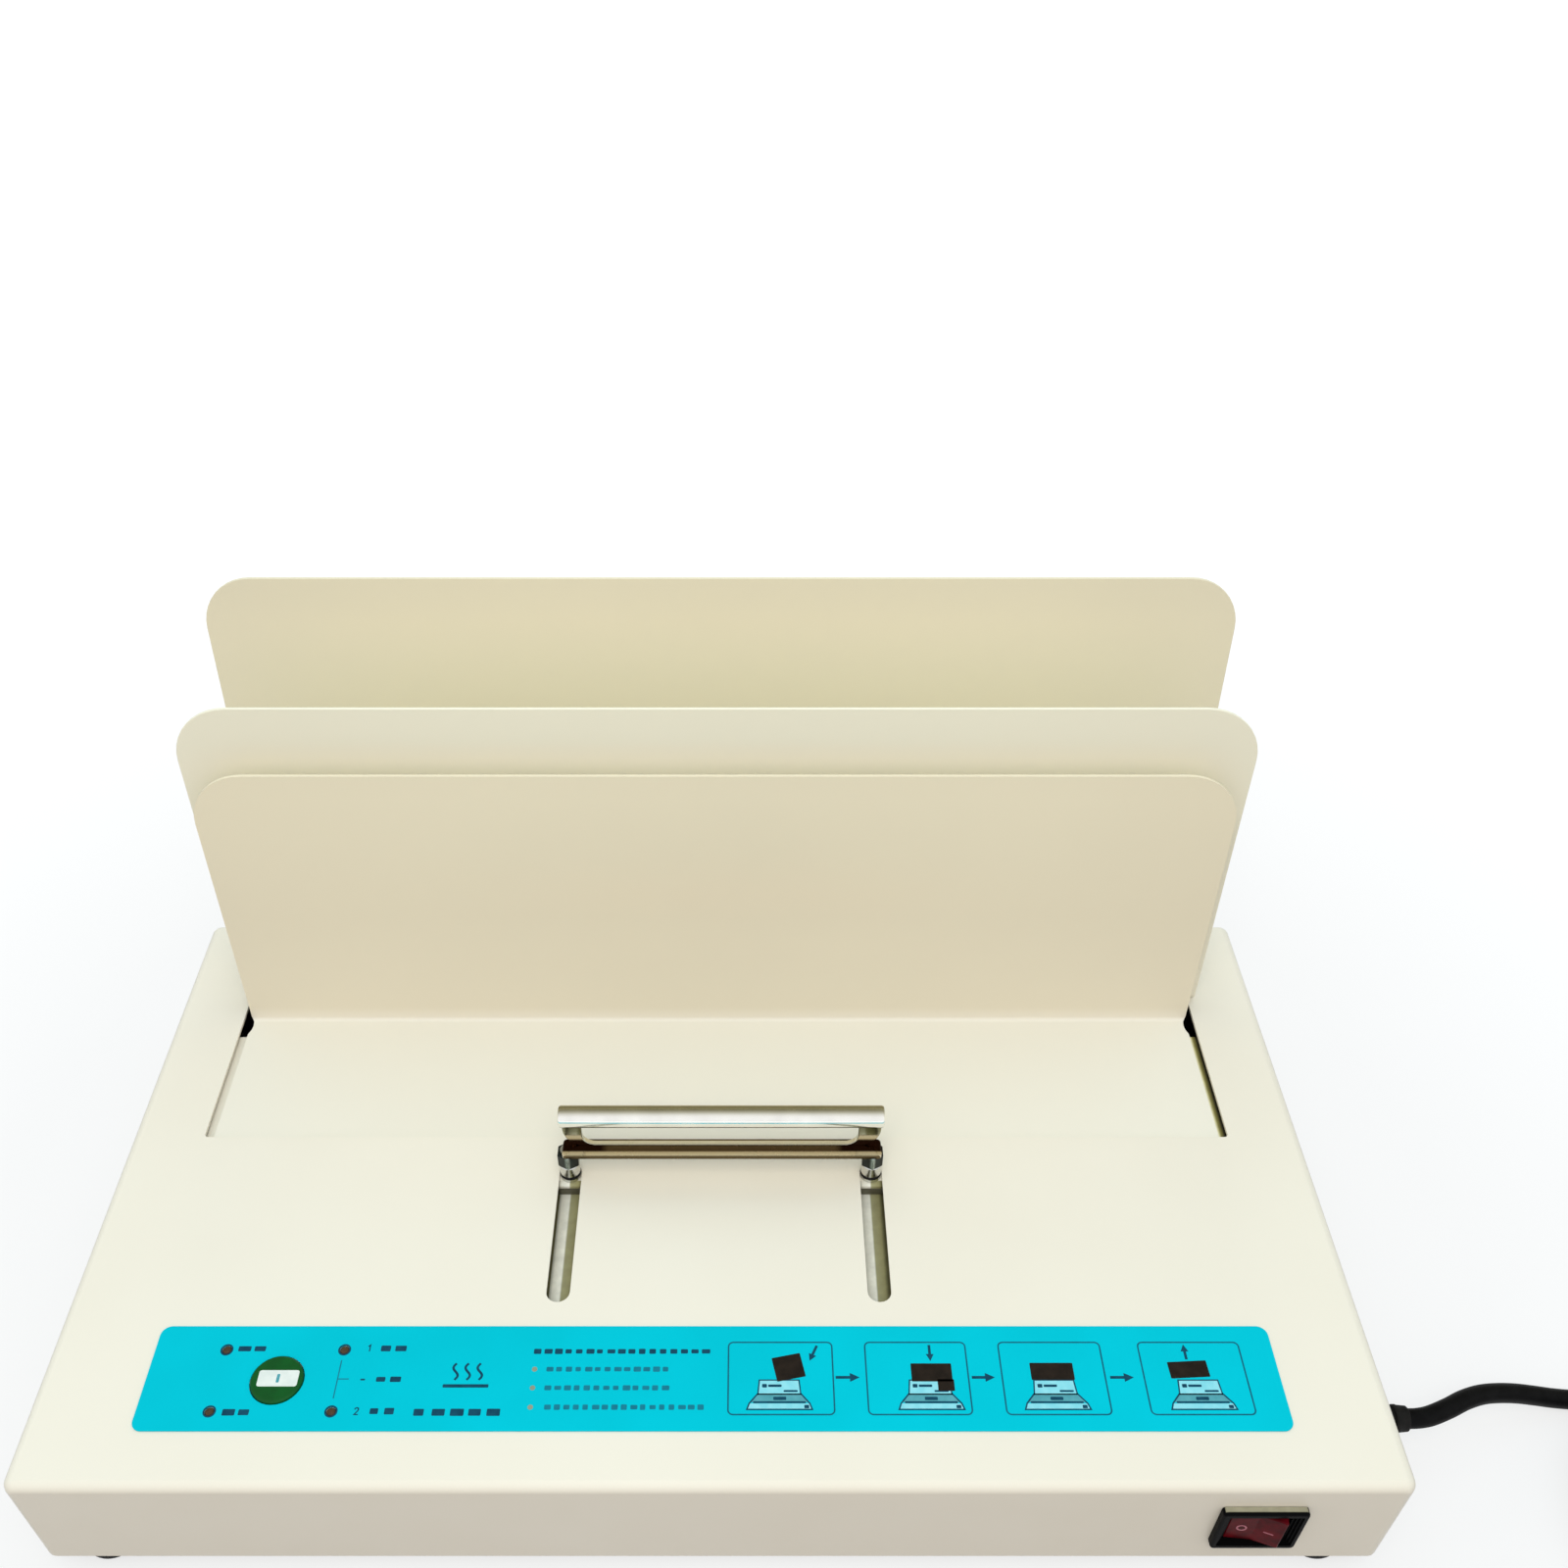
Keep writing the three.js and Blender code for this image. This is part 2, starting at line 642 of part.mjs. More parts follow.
// The moving front panel with its tongue: one folded sheet with relief notches and two spring tabs
function clampPlate() {
  const midZ = tongueTopZ - sheet / 2;
  const midY = frontPanelY + sheet / 2;
  const panelTopZ = topZ + frontPanelHeight;
  const rise = panelTopZ - midZ + overrun;
  const edge = foldedSheet([
    [tongueFrontY, midZ],
    [midY, midZ],
    [midY + rise * Math.tan(frontPanelLean), midZ + rise],
  ]);
  const half = frontPanelWidth / 2;
  const outline = panelOutline(frontPanelWidth, midZ - overrun, panelTopZ, frontPanelCornerRadius);
  const folded = alongX(edge, -half - overrun, half + overrun);
  let plate = folded.intersect(alongY(outline, 0, bodyDepth + rearPanelHeight));
  for (const [, side] of sides) {
    const notch = new THREE.SphereGeometry(reliefRadius, 16, 12);
    notch.translate(side * (half + reliefOutside), frontPanelY - reliefForward, midZ);
    const x = (side * springSpacing) / 2;
    const tab = box(
      x - springTabWidth / 2, x + springTabWidth / 2, tongueFrontY, tongueFrontY + sheet,
      springZ - springHoleRadius - springEyeEdge, midZ,
    );
    const eye = turnedAlongY(rodProfile(springHoleRadius, 2 * overrun), 12, x, tongueFrontY - overrun, springZ);
    const studHole = turned(rodProfile(sleeveBore, 2 * overrun), 16, postX(side), postY, midZ - overrun);
    plate = cut(join(plate, tab), eye, solid(notch), studHole);
  }
  return plate;
}

// The fixed back stop of the heated slot, screwed down by its foot in the floor of the rack
function middlePanel() {
  const midZ = topZ + fit + sheet / 2;
  const midY = middlePanelY + sheet / 2;
  const panelTopZ = topZ + middlePanelHeight;
  const rise = panelTopZ - midZ + overrun;
  const edge = foldedSheet([
    [middlePanelY + sheet + middlePanelFoot, midZ],
    [midY, midZ],
    [midY + rise * Math.tan(frontPanelLean), midZ + rise],
  ]);
  const half = middlePanelWidth / 2;
  const outline = panelOutline(middlePanelWidth, topZ - overrun, panelTopZ, middlePanelCornerRadius);
  const folded = alongX(edge, -half - overrun, half + overrun);
  const slab = alongY(outline, 0, bodyDepth + rearPanelHeight).translate([middlePanelShift, 0, 0]);
  let panel = folded.intersect(slab);
  for (const [, x] of middleScrewPlaces) {
    panel = cut(panel, turned(rodProfile(screwHoleRadius, 2 * overrun), 12, x, middleScrewY, midZ - overrun));
  }
  return panel;
}

// The tall back wall of the rack: its skirt is screwed to the back of the cover, and it leans back above
function rearPanel() {
  const midY = bodyDepth + fit + sheet / 2;
  const panelTopZ = topZ + rearPanelHeight;
  const rise = rearPanelHeight + overrun;
  const edge = foldedSheet([
    [midY, topZ - rearPanelSkirt],
    [midY, topZ],
    [midY + rise * Math.tan(rearPanelLean), topZ + rise],
  ]);
  const half = rearPanelWidth / 2;
  const outline = panelOutline(rearPanelWidth, footHeight, panelTopZ, rearPanelCornerRadius);
  const folded = alongX(edge, -half - overrun, half + overrun);
  const slab = alongY(outline, 0, bodyDepth + rearPanelHeight).translate([rearPanelShift, 0, 0]);
  let panel = folded.intersect(slab);
  for (const [, x] of rearScrewPlaces) {
    const hole = rodProfile(screwHoleRadius, 2 * overrun);
    panel = cut(panel, turnedAlongY(hole, 12, x, bodyDepth - overrun, rearScrewZ));
  }
  return panel;
}

// The chrome pull: a round bar over a web with a finger window, on a flat base
function pullHandle() {
  const half = handleWidth / 2;
  const x0 = handleOffsetX - half;
  const x1 = handleOffsetX + half;
  const baseZ = topZ + handleBaseHeight;
  const baseTopZ = baseZ + handleBaseThickness;
  const barZ = topZ + handleBarHeight;
  const base = raised(
    roundedRectangle(x0, x1, postY - handleBaseDepth / 2, postY + handleBaseDepth / 2, handleBaseThickness),
    baseZ, baseTopZ,
  );
  const webOutline = new THREE.Shape();
  const r = handleWebCornerRadius;
  webOutline.moveTo(x0, barZ);
  webOutline.absarc(x0 + r, baseTopZ - sheet / 2 + r, r, Math.PI, 1.5 * Math.PI, false);
  webOutline.absarc(x1 - r, baseTopZ - sheet / 2 + r, r, 1.5 * Math.PI, 2 * Math.PI, false);
  webOutline.lineTo(x1, barZ);
  webOutline.closePath();
  const web = alongY(webOutline, postY + handleWebThickness / 2, postY + 1.5 * handleWebThickness);
  const windowHalf = handleWindowWidth / 2;
  const windowZ = baseTopZ + handleWindowSill;
  const windowTopZ = barZ - handleBarRadius + handleWindowLap;
  const windowOutline = roundedRectangle(
    handleOffsetX - windowHalf, handleOffsetX + windowHalf, windowZ, windowTopZ, handleWindowCornerRadius,
  );
  const opening = alongY(windowOutline, postY - overrun, postY + overrun);
  const barEdge = handleBarRadius / 8;
  const barProfile = [
    [0, 0], [handleBarRadius - barEdge, 0], [handleBarRadius, barEdge],
    [handleBarRadius, handleWidth - barEdge], [handleBarRadius - barEdge, handleWidth], [0, handleWidth],
  ];
  const bar = turnedAlongX(barProfile, 20, x0, postY, barZ);
  let handle = join(cut(web, opening), base, bar);
  const countersink = [
    [0, baseZ - overrun], [sleeveBore, baseZ - overrun], [sleeveBore, baseZ],
    [studHeadRadius + fit, baseTopZ], [studHeadRadius + fit, baseTopZ + fit], [0, baseTopZ + fit],
  ];
  for (const [, side] of sides) {
    handle = cut(handle, turned(countersink, 16, postX(side), postY, 0));
  }
  return handle;
}

// A stud from the shoe up through tongue and handle: its lower head is in the shoe, its upper one flush in the base
function handlePost(side) {
  const headBottomZ = railTopZ - shoeHeight + fit;
  const headTopZ = headBottomZ + shoeBoltRecess - 2 * fit;
  const coneZ = topZ + handleBaseHeight;
  const coneTopZ = coneZ + handleBaseThickness;
  const profile = [
    [0, headBottomZ],
    [shoeBoltHeadRadius, headBottomZ],
    [shoeBoltHeadRadius, headTopZ],
    [studRadius, headTopZ],
    [studRadius, coneZ],
    [studHeadRadius, coneTopZ],
    [0, coneTopZ],
  ];
  return turned(profile, 16, postX(side), postY, 0);
}

// A silver sleeve through the slot, with a groove that holds the black ring just above the cover
function postSleeve(side) {
  const z0 = tongueTopZ + fit;
  const grooveZ = topZ + ringStandOff;
  const grooveTopZ = grooveZ + ringHeight + fit;
  const grooveRadius = sleeveRadius - ringDepth;
  const profile = [
    [sleeveBore, z0],
    [sleeveRadius, z0],
    [sleeveRadius, grooveZ],
    [grooveRadius, grooveZ],
    [grooveRadius, grooveTopZ],
    [sleeveRadius, grooveTopZ],
    [sleeveRadius, topZ + sleeveHeight],
    [sleeveBore, topZ + sleeveHeight],
    [sleeveBore, z0],
  ];
  return turned(profile, 20, postX(side), postY, 0);
}

function postRing(side) {
  const z0 = topZ + ringStandOff + fit / 2;
  const inner = sleeveRadius - ringDepth + fit / 2;
  const outer = sleeveRadius + fit / 2;
  const profile = [[inner, z0], [outer, z0], [outer, z0 + ringHeight], [inner, z0 + ringHeight], [inner, z0]];
  return turned(profile, 20, postX(side), postY, 0);
}

function postNut(side) {
  const z0 = topZ + sleeveHeight + fit;
  const z1 = topZ + handleBaseHeight - fit;
  const radius = nutAcross / Math.sqrt(3);
  const chamfer = sheet / 2;
  const profile = [
    [0, z0], [radius - chamfer, z0], [radius, z0 + chamfer],
    [radius, z1 - chamfer], [radius - chamfer, z1], [0, z1],
  ];
  const bore = turned(rodProfile(sleeveBore, 2 * (z1 - z0)), 16, postX(side), postY, z0 - (z1 - z0) / 2);
  return cut(turned(profile, 6, postX(side), postY, 0), bore);
}

// A folded channel under each slot, on two legs that stand on the tray
function guideRail(side) {
  const half = railInnerWidth / 2 + sheet;
  const floorZ = railTopZ - railDepth + sheet / 2;
  const footZ = standZ + sheet / 2;
  const edge = foldedSheet([
    [railFrontY + railFoot, footZ],
    [railFrontY + sheet / 2, footZ],
    [railFrontY + sheet / 2, floorZ],
    [railRearY - sheet / 2, floorZ],
    [railRearY - sheet / 2, footZ],
    [railRearY - railFoot, footZ],
  ]);
  const x = postX(side);
  const wallFrontY = railFrontY + foldRadius + sheet;
  const wallRearY = railRearY - foldRadius - sheet;
  const wall = (x0) => box(x0, x0 + sheet, wallFrontY, wallRearY, floorZ, railTopZ);
  return join(alongX(edge, x - half, x + half), wall(x - half), wall(x + half - sheet));
}

// A steel shoe that slides in the channel behind its stud, with a recess for the stud's head
function guideShoe(side) {
  const x = postX(side);
  const half = shoeWidth / 2;
  const z0 = railTopZ - shoeHeight;
  const outline = roundedRectangle(x - half, x + half, postY - shoeFrontReach, postY + shoeRearReach, sheet);
  const bore = turned(rodProfile(sleeveBore, 2 * shoeHeight), 16, x, postY, z0 - shoeHeight / 2);
  const recess = turned(rodProfile(shoeBoltHeadRadius + fit, shoeBoltRecess + overrun), 16, x, postY, z0 - overrun);
  return cut(raised(outline, z0, railTopZ), bore, recess);
}

// Only a hook at each end and the closed body between them: the spring is hidden in the housing
function returnSpring(side) {
  const x = (side * springSpacing) / 2;
  const frontEyeY = tongueFrontY + sheet;
  const bodyFrontY = frontEyeY + springHook;
  const bodyRearY = springLugY - springHook;
  const body = turnedAlongY(rodProfile(springRadius, bodyRearY - bodyFrontY), 12, x, bodyFrontY, springZ);
  const hookLine = (eyeY, bodyY, past) => {
    const path = new THREE.CurvePath();
    const corner = new THREE.Vector3(x, eyeY + past, springZ);
    path.add(new THREE.LineCurve3(new THREE.Vector3(x, bodyY, springZ), corner));
    path.add(new THREE.LineCurve3(corner, new THREE.Vector3(x, eyeY + past, springZ - 4 * springWireRadius)));
    return path;
  };
  const reach = springHook / 4;
  const front = tube(hookLine(tongueFrontY, bodyFrontY + reach, -reach), springWireRadius, 6, 8);
  const rear = tube(hookLine(springLugY + sheet, bodyRearY - reach, reach), springWireRadius, 6, 8);
  return join(body, front, rear);
}

// The aluminium heating plate: a channel, open below, that the book's spine stands on
function heatingPlate() {
  const half = plateLength / 2;
  const plate = box(-half, half, plateFrontY, plateRearY, plateUnderZ - plateFlangeHeight, plateTopZ);
  const hollow = box(
    -half - overrun, half + overrun, plateFrontY + plateFlangeThickness, plateRearY - plateFlangeThickness,
    plateUnderZ - plateFlangeHeight - overrun, plateUnderZ,
  );
  return cut(plate, hollow);
}

const elementFrontY = plateFrontY + plateFlangeThickness + fit;
const elementRearY = plateRearY - plateFlangeThickness - fit;

function heaterElement() {
  const z1 = plateUnderZ - fit;
  return box(elementLeftX, elementRightX, elementFrontY, elementRearY, z1 - elementThickness, z1);
}

function insulationBoard() {
  const z1 = insulationUnderZ + insulationThickness;
  return box(elementLeftX, elementRightX, elementFrontY, elementRearY, insulationUnderZ, z1);
}

// A folded foot and upright with a welded ledge for the plate; its lip carries the tongue and closes the side gap
function heaterBracket(side) {
  const innerX = plateLength / 2 + bracketInsetX;
  const midX = innerX + sheet / 2;
  const footZ = standZ + sheet / 2;
  const edge = foldedSheet([
    [side * (midX + bracketFoot), footZ],
    [side * midX, footZ],
    [side * midX, railTopZ],
  ]);
  const upright = alongY(edge, finFrontY, plateRearY + sheet);
  const clearFront = box(
    -bodyWidth, bodyWidth, finFrontY - overrun, bracketFrontY, 0, ledgeTopZ - sheet,
  );
  const x0 = side * (innerX - bracketLedge);
  const x1 = side * midX;
  const ledge = box(
    Math.min(x0, x1), Math.max(x0, x1), bracketFrontY, plateRearY + sheet, ledgeTopZ - sheet, ledgeTopZ,
  );
  const notchFrontY = frontPanelY - reliefForward - reliefHalfLength;
  const clearNotch = box(-bodyWidth, bodyWidth, notchFrontY, bodyDepth, plateTopZ, topZ);
  const lipX = side * (midX + bracketLip);
  const lip = box(
    Math.min(side * midX, lipX), Math.max(side * midX, lipX), finFrontY, notchFrontY, railTopZ - sheet, railTopZ,
  );
  return join(cut(upright, clearFront, clearNotch), ledge, lip);
}

// A bimetal thermostat held up against the plate, its two tabs pointing back
function thermostat() {
  const y = (plateFrontY + plateRearY) / 2;
  const z1 = plateUnderZ - fit;
  const cap = thermostatHeight / 3;
  const profile = [
    [0, z1 - thermostatHeight],
    [thermostatRadius - fit, z1 - thermostatHeight],
    [thermostatRadius - fit, z1 - cap],
    [thermostatRadius, z1 - cap],
    [thermostatRadius, z1 - fit],
    [thermostatRadius - fit, z1],
    [0, z1],
  ];
  const tabZ = z1 - thermostatHeight + sheet;
  const tab = (offset) => box(
    thermostatX + offset - thermostatTabWidth / 2, thermostatX + offset + thermostatTabWidth / 2,
    y, y + thermostatRadius + thermostatTabLength, tabZ, tabZ + spadeThickness,
  );
  return join(turned(profile, 20, thermostatX, y, 0), tab(-thermostatTabWidth * 0.7), tab(thermostatTabWidth * 0.7));
}

function thermalFuse() {
  const total = fuseLength + 2 * fuseLeadLength;
  const profile = [
    [0, 0], [fuseLeadRadius, 0], [fuseLeadRadius, fuseLeadLength], [fuseRadius, fuseLeadLength],
    [fuseRadius, fuseLeadLength + fuseLength], [fuseLeadRadius, fuseLeadLength + fuseLength],
    [fuseLeadRadius, total], [0, total],
  ];
  const y = elementFrontY + 2 * fuseRadius;
  return turnedAlongX(profile, 12, fuseX - total / 2 + fuseLength / 2, y, plateUnderZ - fit - fuseRadius);
}

function controlLabel() {
  const outline = roundedRectangle(labelLeftX, labelRightX, labelFrontY, labelRearY, labelCornerRadius);
  const z0 = topZ + labelGap;
  const hole = (x, y, radius, count) => turned(rodProfile(radius, 2 * overrun), count, x, y, topZ - overrun);
  let film = cut(raised(outline, z0, z0 + labelThickness), hole(buttonX, buttonY, buttonRadius + fit, 32));
  for (const [, x, y] of lampPlaces) film = cut(film, hole(x, y, lampRadius + fit / 2, 16));
  return film;
}

// A round cap kept in by its flange under the cover
function startButton() {
  const flangeTopZ = coverUnderZ - fit;
  const capTopZ = topZ + buttonRise;
  const profile = [
    [0, flangeTopZ - buttonFlangeThickness],
    [buttonFlangeRadius, flangeTopZ - buttonFlangeThickness],
    [buttonFlangeRadius, flangeTopZ],
    [buttonRadius, flangeTopZ],
    [buttonRadius, capTopZ - buttonEdge],
    [buttonRadius - buttonEdge * 0.3, capTopZ - buttonEdge * 0.3],
    [buttonRadius - buttonEdge, capTopZ],
    [0, capTopZ - buttonEdge * 0.3],
  ];
  return turned(profile, 32, buttonX, buttonY, 0);
}

// The push switch on the board, its plunger one button travel under the cap
function pushSwitch() {
  const half = pushSwitchWidth / 2;
  const z0 = boardTopZ + labelGap;
  const buttonUnderZ = coverUnderZ - fit - buttonFlangeThickness;
  const body = box(buttonX - half, buttonX + half, buttonY - half, buttonY + half, z0, z0 + pushSwitchHeight);
  const plungerZ = z0 + pushSwitchHeight / 2;
  const plunger = rodProfile(plungerRadius, buttonUnderZ - buttonTravel - labelGap - plungerZ);
  return join(body, turned(plunger, 16, buttonX, buttonY, plungerZ));
}

// A round lamp on its black spacer
function statusLamp(x, y) {
  const z0 = boardTopZ + labelGap;
  const domeTopZ = topZ + lampRise;
  const shoulderZ = domeTopZ - lampRadius;
  const profile = [[0, z0], [lampSpacerRadius, z0], [lampSpacerRadius, z0 + lampSpacerHeight]];
  for (let k = 0; k <= 4; k++) {
    const angle = (Math.PI / 2) * (k / 4);
    const radius = k === 4 ? 0 : lampRadius * Math.cos(angle);
    if (k === 0) profile.push([lampRadius, z0 + lampSpacerHeight]);
    profile.push([radius, shoulderZ + lampRadius * Math.sin(angle)]);
  }
  return turned(profile, 16, x, y, 0);
}

// The printed board with a relay and a chip on it, under the lamps
function controlBoard() {
  const x0 = lampCentreX - boardWidth / 2;
  const y0 = buttonY - boardDepth / 2;
  const z0 = boardTopZ - boardThickness;
  const board = box(x0, x0 + boardWidth, y0, y0 + boardDepth, z0, boardTopZ);
  const chipX = lampCentreX - lampSpacingX / 2 - 2 * chipWidth;
  const chip = box(
    chipX, chipX + chipWidth, buttonY - chipLength / 2, buttonY + chipLength / 2,
    boardTopZ - labelGap, boardTopZ + chipHeight,
  );
  const relayX = lampCentreX - relayWidth / 2;
  const relay = box(
    relayX, relayX + relayWidth, buttonY - relayDepth / 2, buttonY + relayDepth / 2,
    z0 - relayHeight, z0 + labelGap,
  );
  return join(board, chip, relay);
}

// A folded channel that stands on the tray and carries the board on its two turned-in ledges
function boardBracket() {
  const half = boardWidth / 2 - sheet;
  const ledgeZ = boardTopZ - boardThickness - fit - sheet / 2;
  const footZ = standZ + sheet / 2;
  const edge = foldedSheet([
    [lampCentreX - half + boardBracketLedge, ledgeZ],
    [lampCentreX - half, ledgeZ],
    [lampCentreX - half, footZ],
    [lampCentreX + half, footZ],
    [lampCentreX + half, ledgeZ],
    [lampCentreX + half - boardBracketLedge, ledgeZ],
  ]);
  return alongY(edge, buttonY - boardBracketDepth / 2, buttonY + boardBracketDepth / 2);
}

function transformerCore() {
  const half = coreWidth / 2;
  const y0 = transformerY - coreDepth / 2;
  const y1 = transformerY + coreDepth / 2;
  const leg = coreLegWidth / 2;
  const core = box(transformerX - half, transformerX + half, y0, y1, standZ, standZ + coreHeight);
  const windowHole = (x0, x1) => box(
    x0, x1, y0 - overrun, y1 + overrun, standZ + coreYoke, standZ + coreHeight - coreYoke,
  );
  return cut(
    core,
    windowHole(transformerX - half + coreYoke, transformerX - leg),
    windowHole(transformerX + leg, transformerX + half - coreYoke),
  );
}

function transformerWinding() {
  const outerX = coreWidth / 2 - coreYoke - fit;
  const innerX = coreLegWidth / 2 + fit;
  const innerY = coreDepth / 2 + fit;
  const z0 = standZ + coreYoke + fit;
  const z1 = standZ + coreHeight - coreYoke - fit;
  const outline = roundedRectangle(
    transformerX - outerX, transformerX + outerX,
    transformerY - windingDepth / 2, transformerY + windingDepth / 2, coreYoke / 2,
  );
  const leg = box(
    transformerX - innerX, transformerX + innerX, transformerY - innerY, transformerY + innerY,
    z0 - overrun, z1 + overrun,
  );
  return cut(raised(outline, z0, z1), leg);
}

function terminalBlock() {
  const halfX = terminalWidth / 2;
  const halfY = terminalDepth / 2;
  const z1 = standZ + terminalHeight;
  let block = box(
    terminalX - halfX, terminalX + halfX, terminalY - halfY, terminalY + halfY, standZ, z1,
  );
  for (let k = -1; k <= 1; k++) {
    const x = terminalX + k * terminalPitch;
    const well = turned(
      rodProfile(terminalWellRadius, terminalWellDepth + overrun), 12, x, terminalY, z1 - terminalWellDepth,
    );
    block = cut(block, well);
  }
  return block;
}

// The black switch body: a flared bezel outside the front wall and a cavity that the rocker tips in
function switchHousing() {
  const bodyFrontY = -fit / 2;
  const halfW = housingWidth / 2;
  const halfH = housingHeight / 2;
  const body = box(
    switchX - halfW, switchX + halfW, bodyFrontY - bezelThickness / 2, housingDepth,
    switchZ - halfH, switchZ + halfH,
  );
  const bezelOutline = roundedRectangle(
    -bezelWidth / 2 + bezelEdge, bezelWidth / 2 - bezelEdge,
    -bezelHeight / 2 + bezelEdge, bezelHeight / 2 - bezelEdge, bezelEdge,
  );
  const bezelGeometry = new THREE.ExtrudeGeometry(bezelOutline, {
    depth: bezelThickness, bevelSize: bezelEdge, bevelThickness: bezelEdge, bevelSegments: 2, curveSegments: 3,
  });
  bezelGeometry.applyMatrix4(new THREE.Matrix4().makeBasis(unitX, unitZ, unitY.clone().negate()));
  bezelGeometry.translate(switchX, bodyFrontY, switchZ);
  const behind = box(
    switchX - bezelWidth, switchX + bezelWidth, bodyFrontY, bodyFrontY + overrun,
    switchZ - bezelHeight, switchZ + bezelHeight,
  );
  const bezel = cut(solid(bezelGeometry), behind);
  const cavityHalfW = rockerWidth / 2 + rockerSideClearance;
  const cavityHalfH = rockerHeight / 2 + fit;
  const cavity = box(
    switchX - cavityHalfW, switchX + cavityHalfW, -overrun, cavityDepth,
    switchZ - cavityHalfH, switchZ + cavityHalfH,
  );
  const flareDepth = bezelThickness + bezelEdge;
  const flareOutline = (grow) => roundedRectangle(
    -cavityHalfW - grow, cavityHalfW + grow, -cavityHalfH - grow / 2, cavityHalfH + grow / 2, bezelEdge / 2,
  );
  const flareSteps = [1, 2 / 3, 1 / 3].map((share, k) => {
    const geometry = new THREE.ExtrudeGeometry(flareOutline(bezelFlare * share), {
      depth: overrun, bevelEnabled: false, curveSegments: 2,
    });
    geometry.applyMatrix4(new THREE.Matrix4().makeBasis(unitX, unitZ, unitY.clone().negate()));
    geometry.translate(switchX, bodyFrontY - flareDepth * (3 - k) / 4, switchZ);
    return solid(geometry);
  });
  const socket = turned(
    rodProfile(rockerPinRadius + fit, rockerHeight + 2 * (rockerPinLength + fit)), 16,
    switchX, rockerPivotY, switchZ - rockerHeight / 2 - rockerPinLength - fit,
  );
  const spade = (k) => box(
    switchX + k * spadeSpacing - spadeThickness / 2, switchX + k * spadeSpacing + spadeThickness / 2,
    housingDepth - overrun, housingDepth + spadeLength, switchZ - spadeWidth / 2, switchZ + spadeWidth / 2,
  );
  return cut(join(body, bezel, spade(-1), spade(0), spade(1)), cavity, ...flareSteps, socket);
}

// The paddle, shown switched off: two facets that meet in a shallow valley, tipped about its upright pins
function switchRocker() {
  const half = rockerWidth / 2;
  const endY = -rockerValley - half * Math.tan(rockerFacet);
  const outline = new THREE.Shape();
  outline.moveTo(-half, endY);
  outline.lineTo(0, -rockerValley);
  outline.lineTo(half, endY);
  outline.lineTo(half, endY + rockerSideDepth);
  outline.lineTo(rockerHubHalf, rockerHubHalf);
  outline.lineTo(-rockerHubHalf, rockerHubHalf);
  outline.lineTo(-half, endY + rockerSideDepth);
  outline.closePath();
  const paddle = new THREE.ExtrudeGeometry(outline, { depth: rockerHeight, bevelEnabled: false });
  paddle.translate(0, 0, -rockerHeight / 2);
  const pin = new THREE.CylinderGeometry(rockerPinRadius, rockerPinRadius, rockerHeight + 2 * rockerPinLength, 16);
  pin.rotateX(Math.PI / 2);
  const paddleTurned = (geometry) => {
    geometry.rotateZ(-rockerTilt);
    geometry.translate(switchX, rockerPivotY, switchZ);
    return solid(geometry);
  };
  return join(paddleTurned(paddle), paddleTurned(pin));
}

function screwProfile() {
  return [
    [0, -screwShankLength],
    [screwShankRadius, -screwShankLength],
    [screwShankRadius, fit],
    [screwHeadRadius, fit],
    [screwHeadRadius, fit + screwHeadHeight / 2],
    [screwHeadRadius * 0.7, fit + screwHeadHeight],
    [0, fit + screwHeadHeight],
  ];
}

const mirroredProfile = (profile) => profile.map(([radius, along]) => [radius, -along]).reverse();

// A rubber foot pushed into the tray: its neck fills the hole and its barb sits on the plate
function rubberFoot(x, y) {
  const z1 = footHeight - fit;
  const barbZ = trayTopZ + fit;
  const profile = [
    [0, 0],
    [footRadius - footChamfer, 0],
    [footRadius, footChamfer],
    [footRadius, z1],
    [footNeckRadius, z1],
    [footNeckRadius, barbZ],
    [footBarbRadius, barbZ],
    [footNeckRadius, barbZ + footBarbHeight],
    [0, barbZ + footBarbHeight],
  ];
  return turned(profile, 24, x, y, 0);
}

// The tapered relief that snaps into the right wall, ribbed outside
function strainRelief() {
  const wallX = bodyWidth / 2;
  const wall = sheet + 2 * fit;
  const profile = [
    [0, -wall - reliefNutLength],
    [reliefNutRadius, -wall - reliefNutLength],
    [reliefNutRadius, -wall],
    [reliefNeckRadius, -wall],
    [reliefNeckRadius, 0],
    [reliefRootRadius + reliefGrooveDepth, 0],
    [reliefRootRadius + reliefGrooveDepth, reliefGrooveWidth],
  ];
  const ribs = 4;
  const runStart = 2 * reliefGrooveWidth;
  const radiusAt = (along) => reliefRootRadius + (reliefTipRadius - reliefRootRadius) * (along / reliefLength);
  for (let k = 0; k < ribs; k++) {
    const at = runStart + (k * (reliefLength - 2 * runStart)) / ribs;
    profile.push([radiusAt(at) - reliefGrooveDepth, at]);
    profile.push([radiusAt(at) - reliefGrooveDepth, at + reliefGrooveWidth]);
    profile.push([radiusAt(at), at + reliefGrooveWidth]);
    profile.push([radiusAt(at), at + 2 * reliefGrooveWidth]);
  }
  profile.push([reliefTipRadius, reliefLength]);
  profile.push([0, reliefLength]);
  return turnedAlongX(profile, 16, wallX + fit, reliefY, reliefHeight);
}

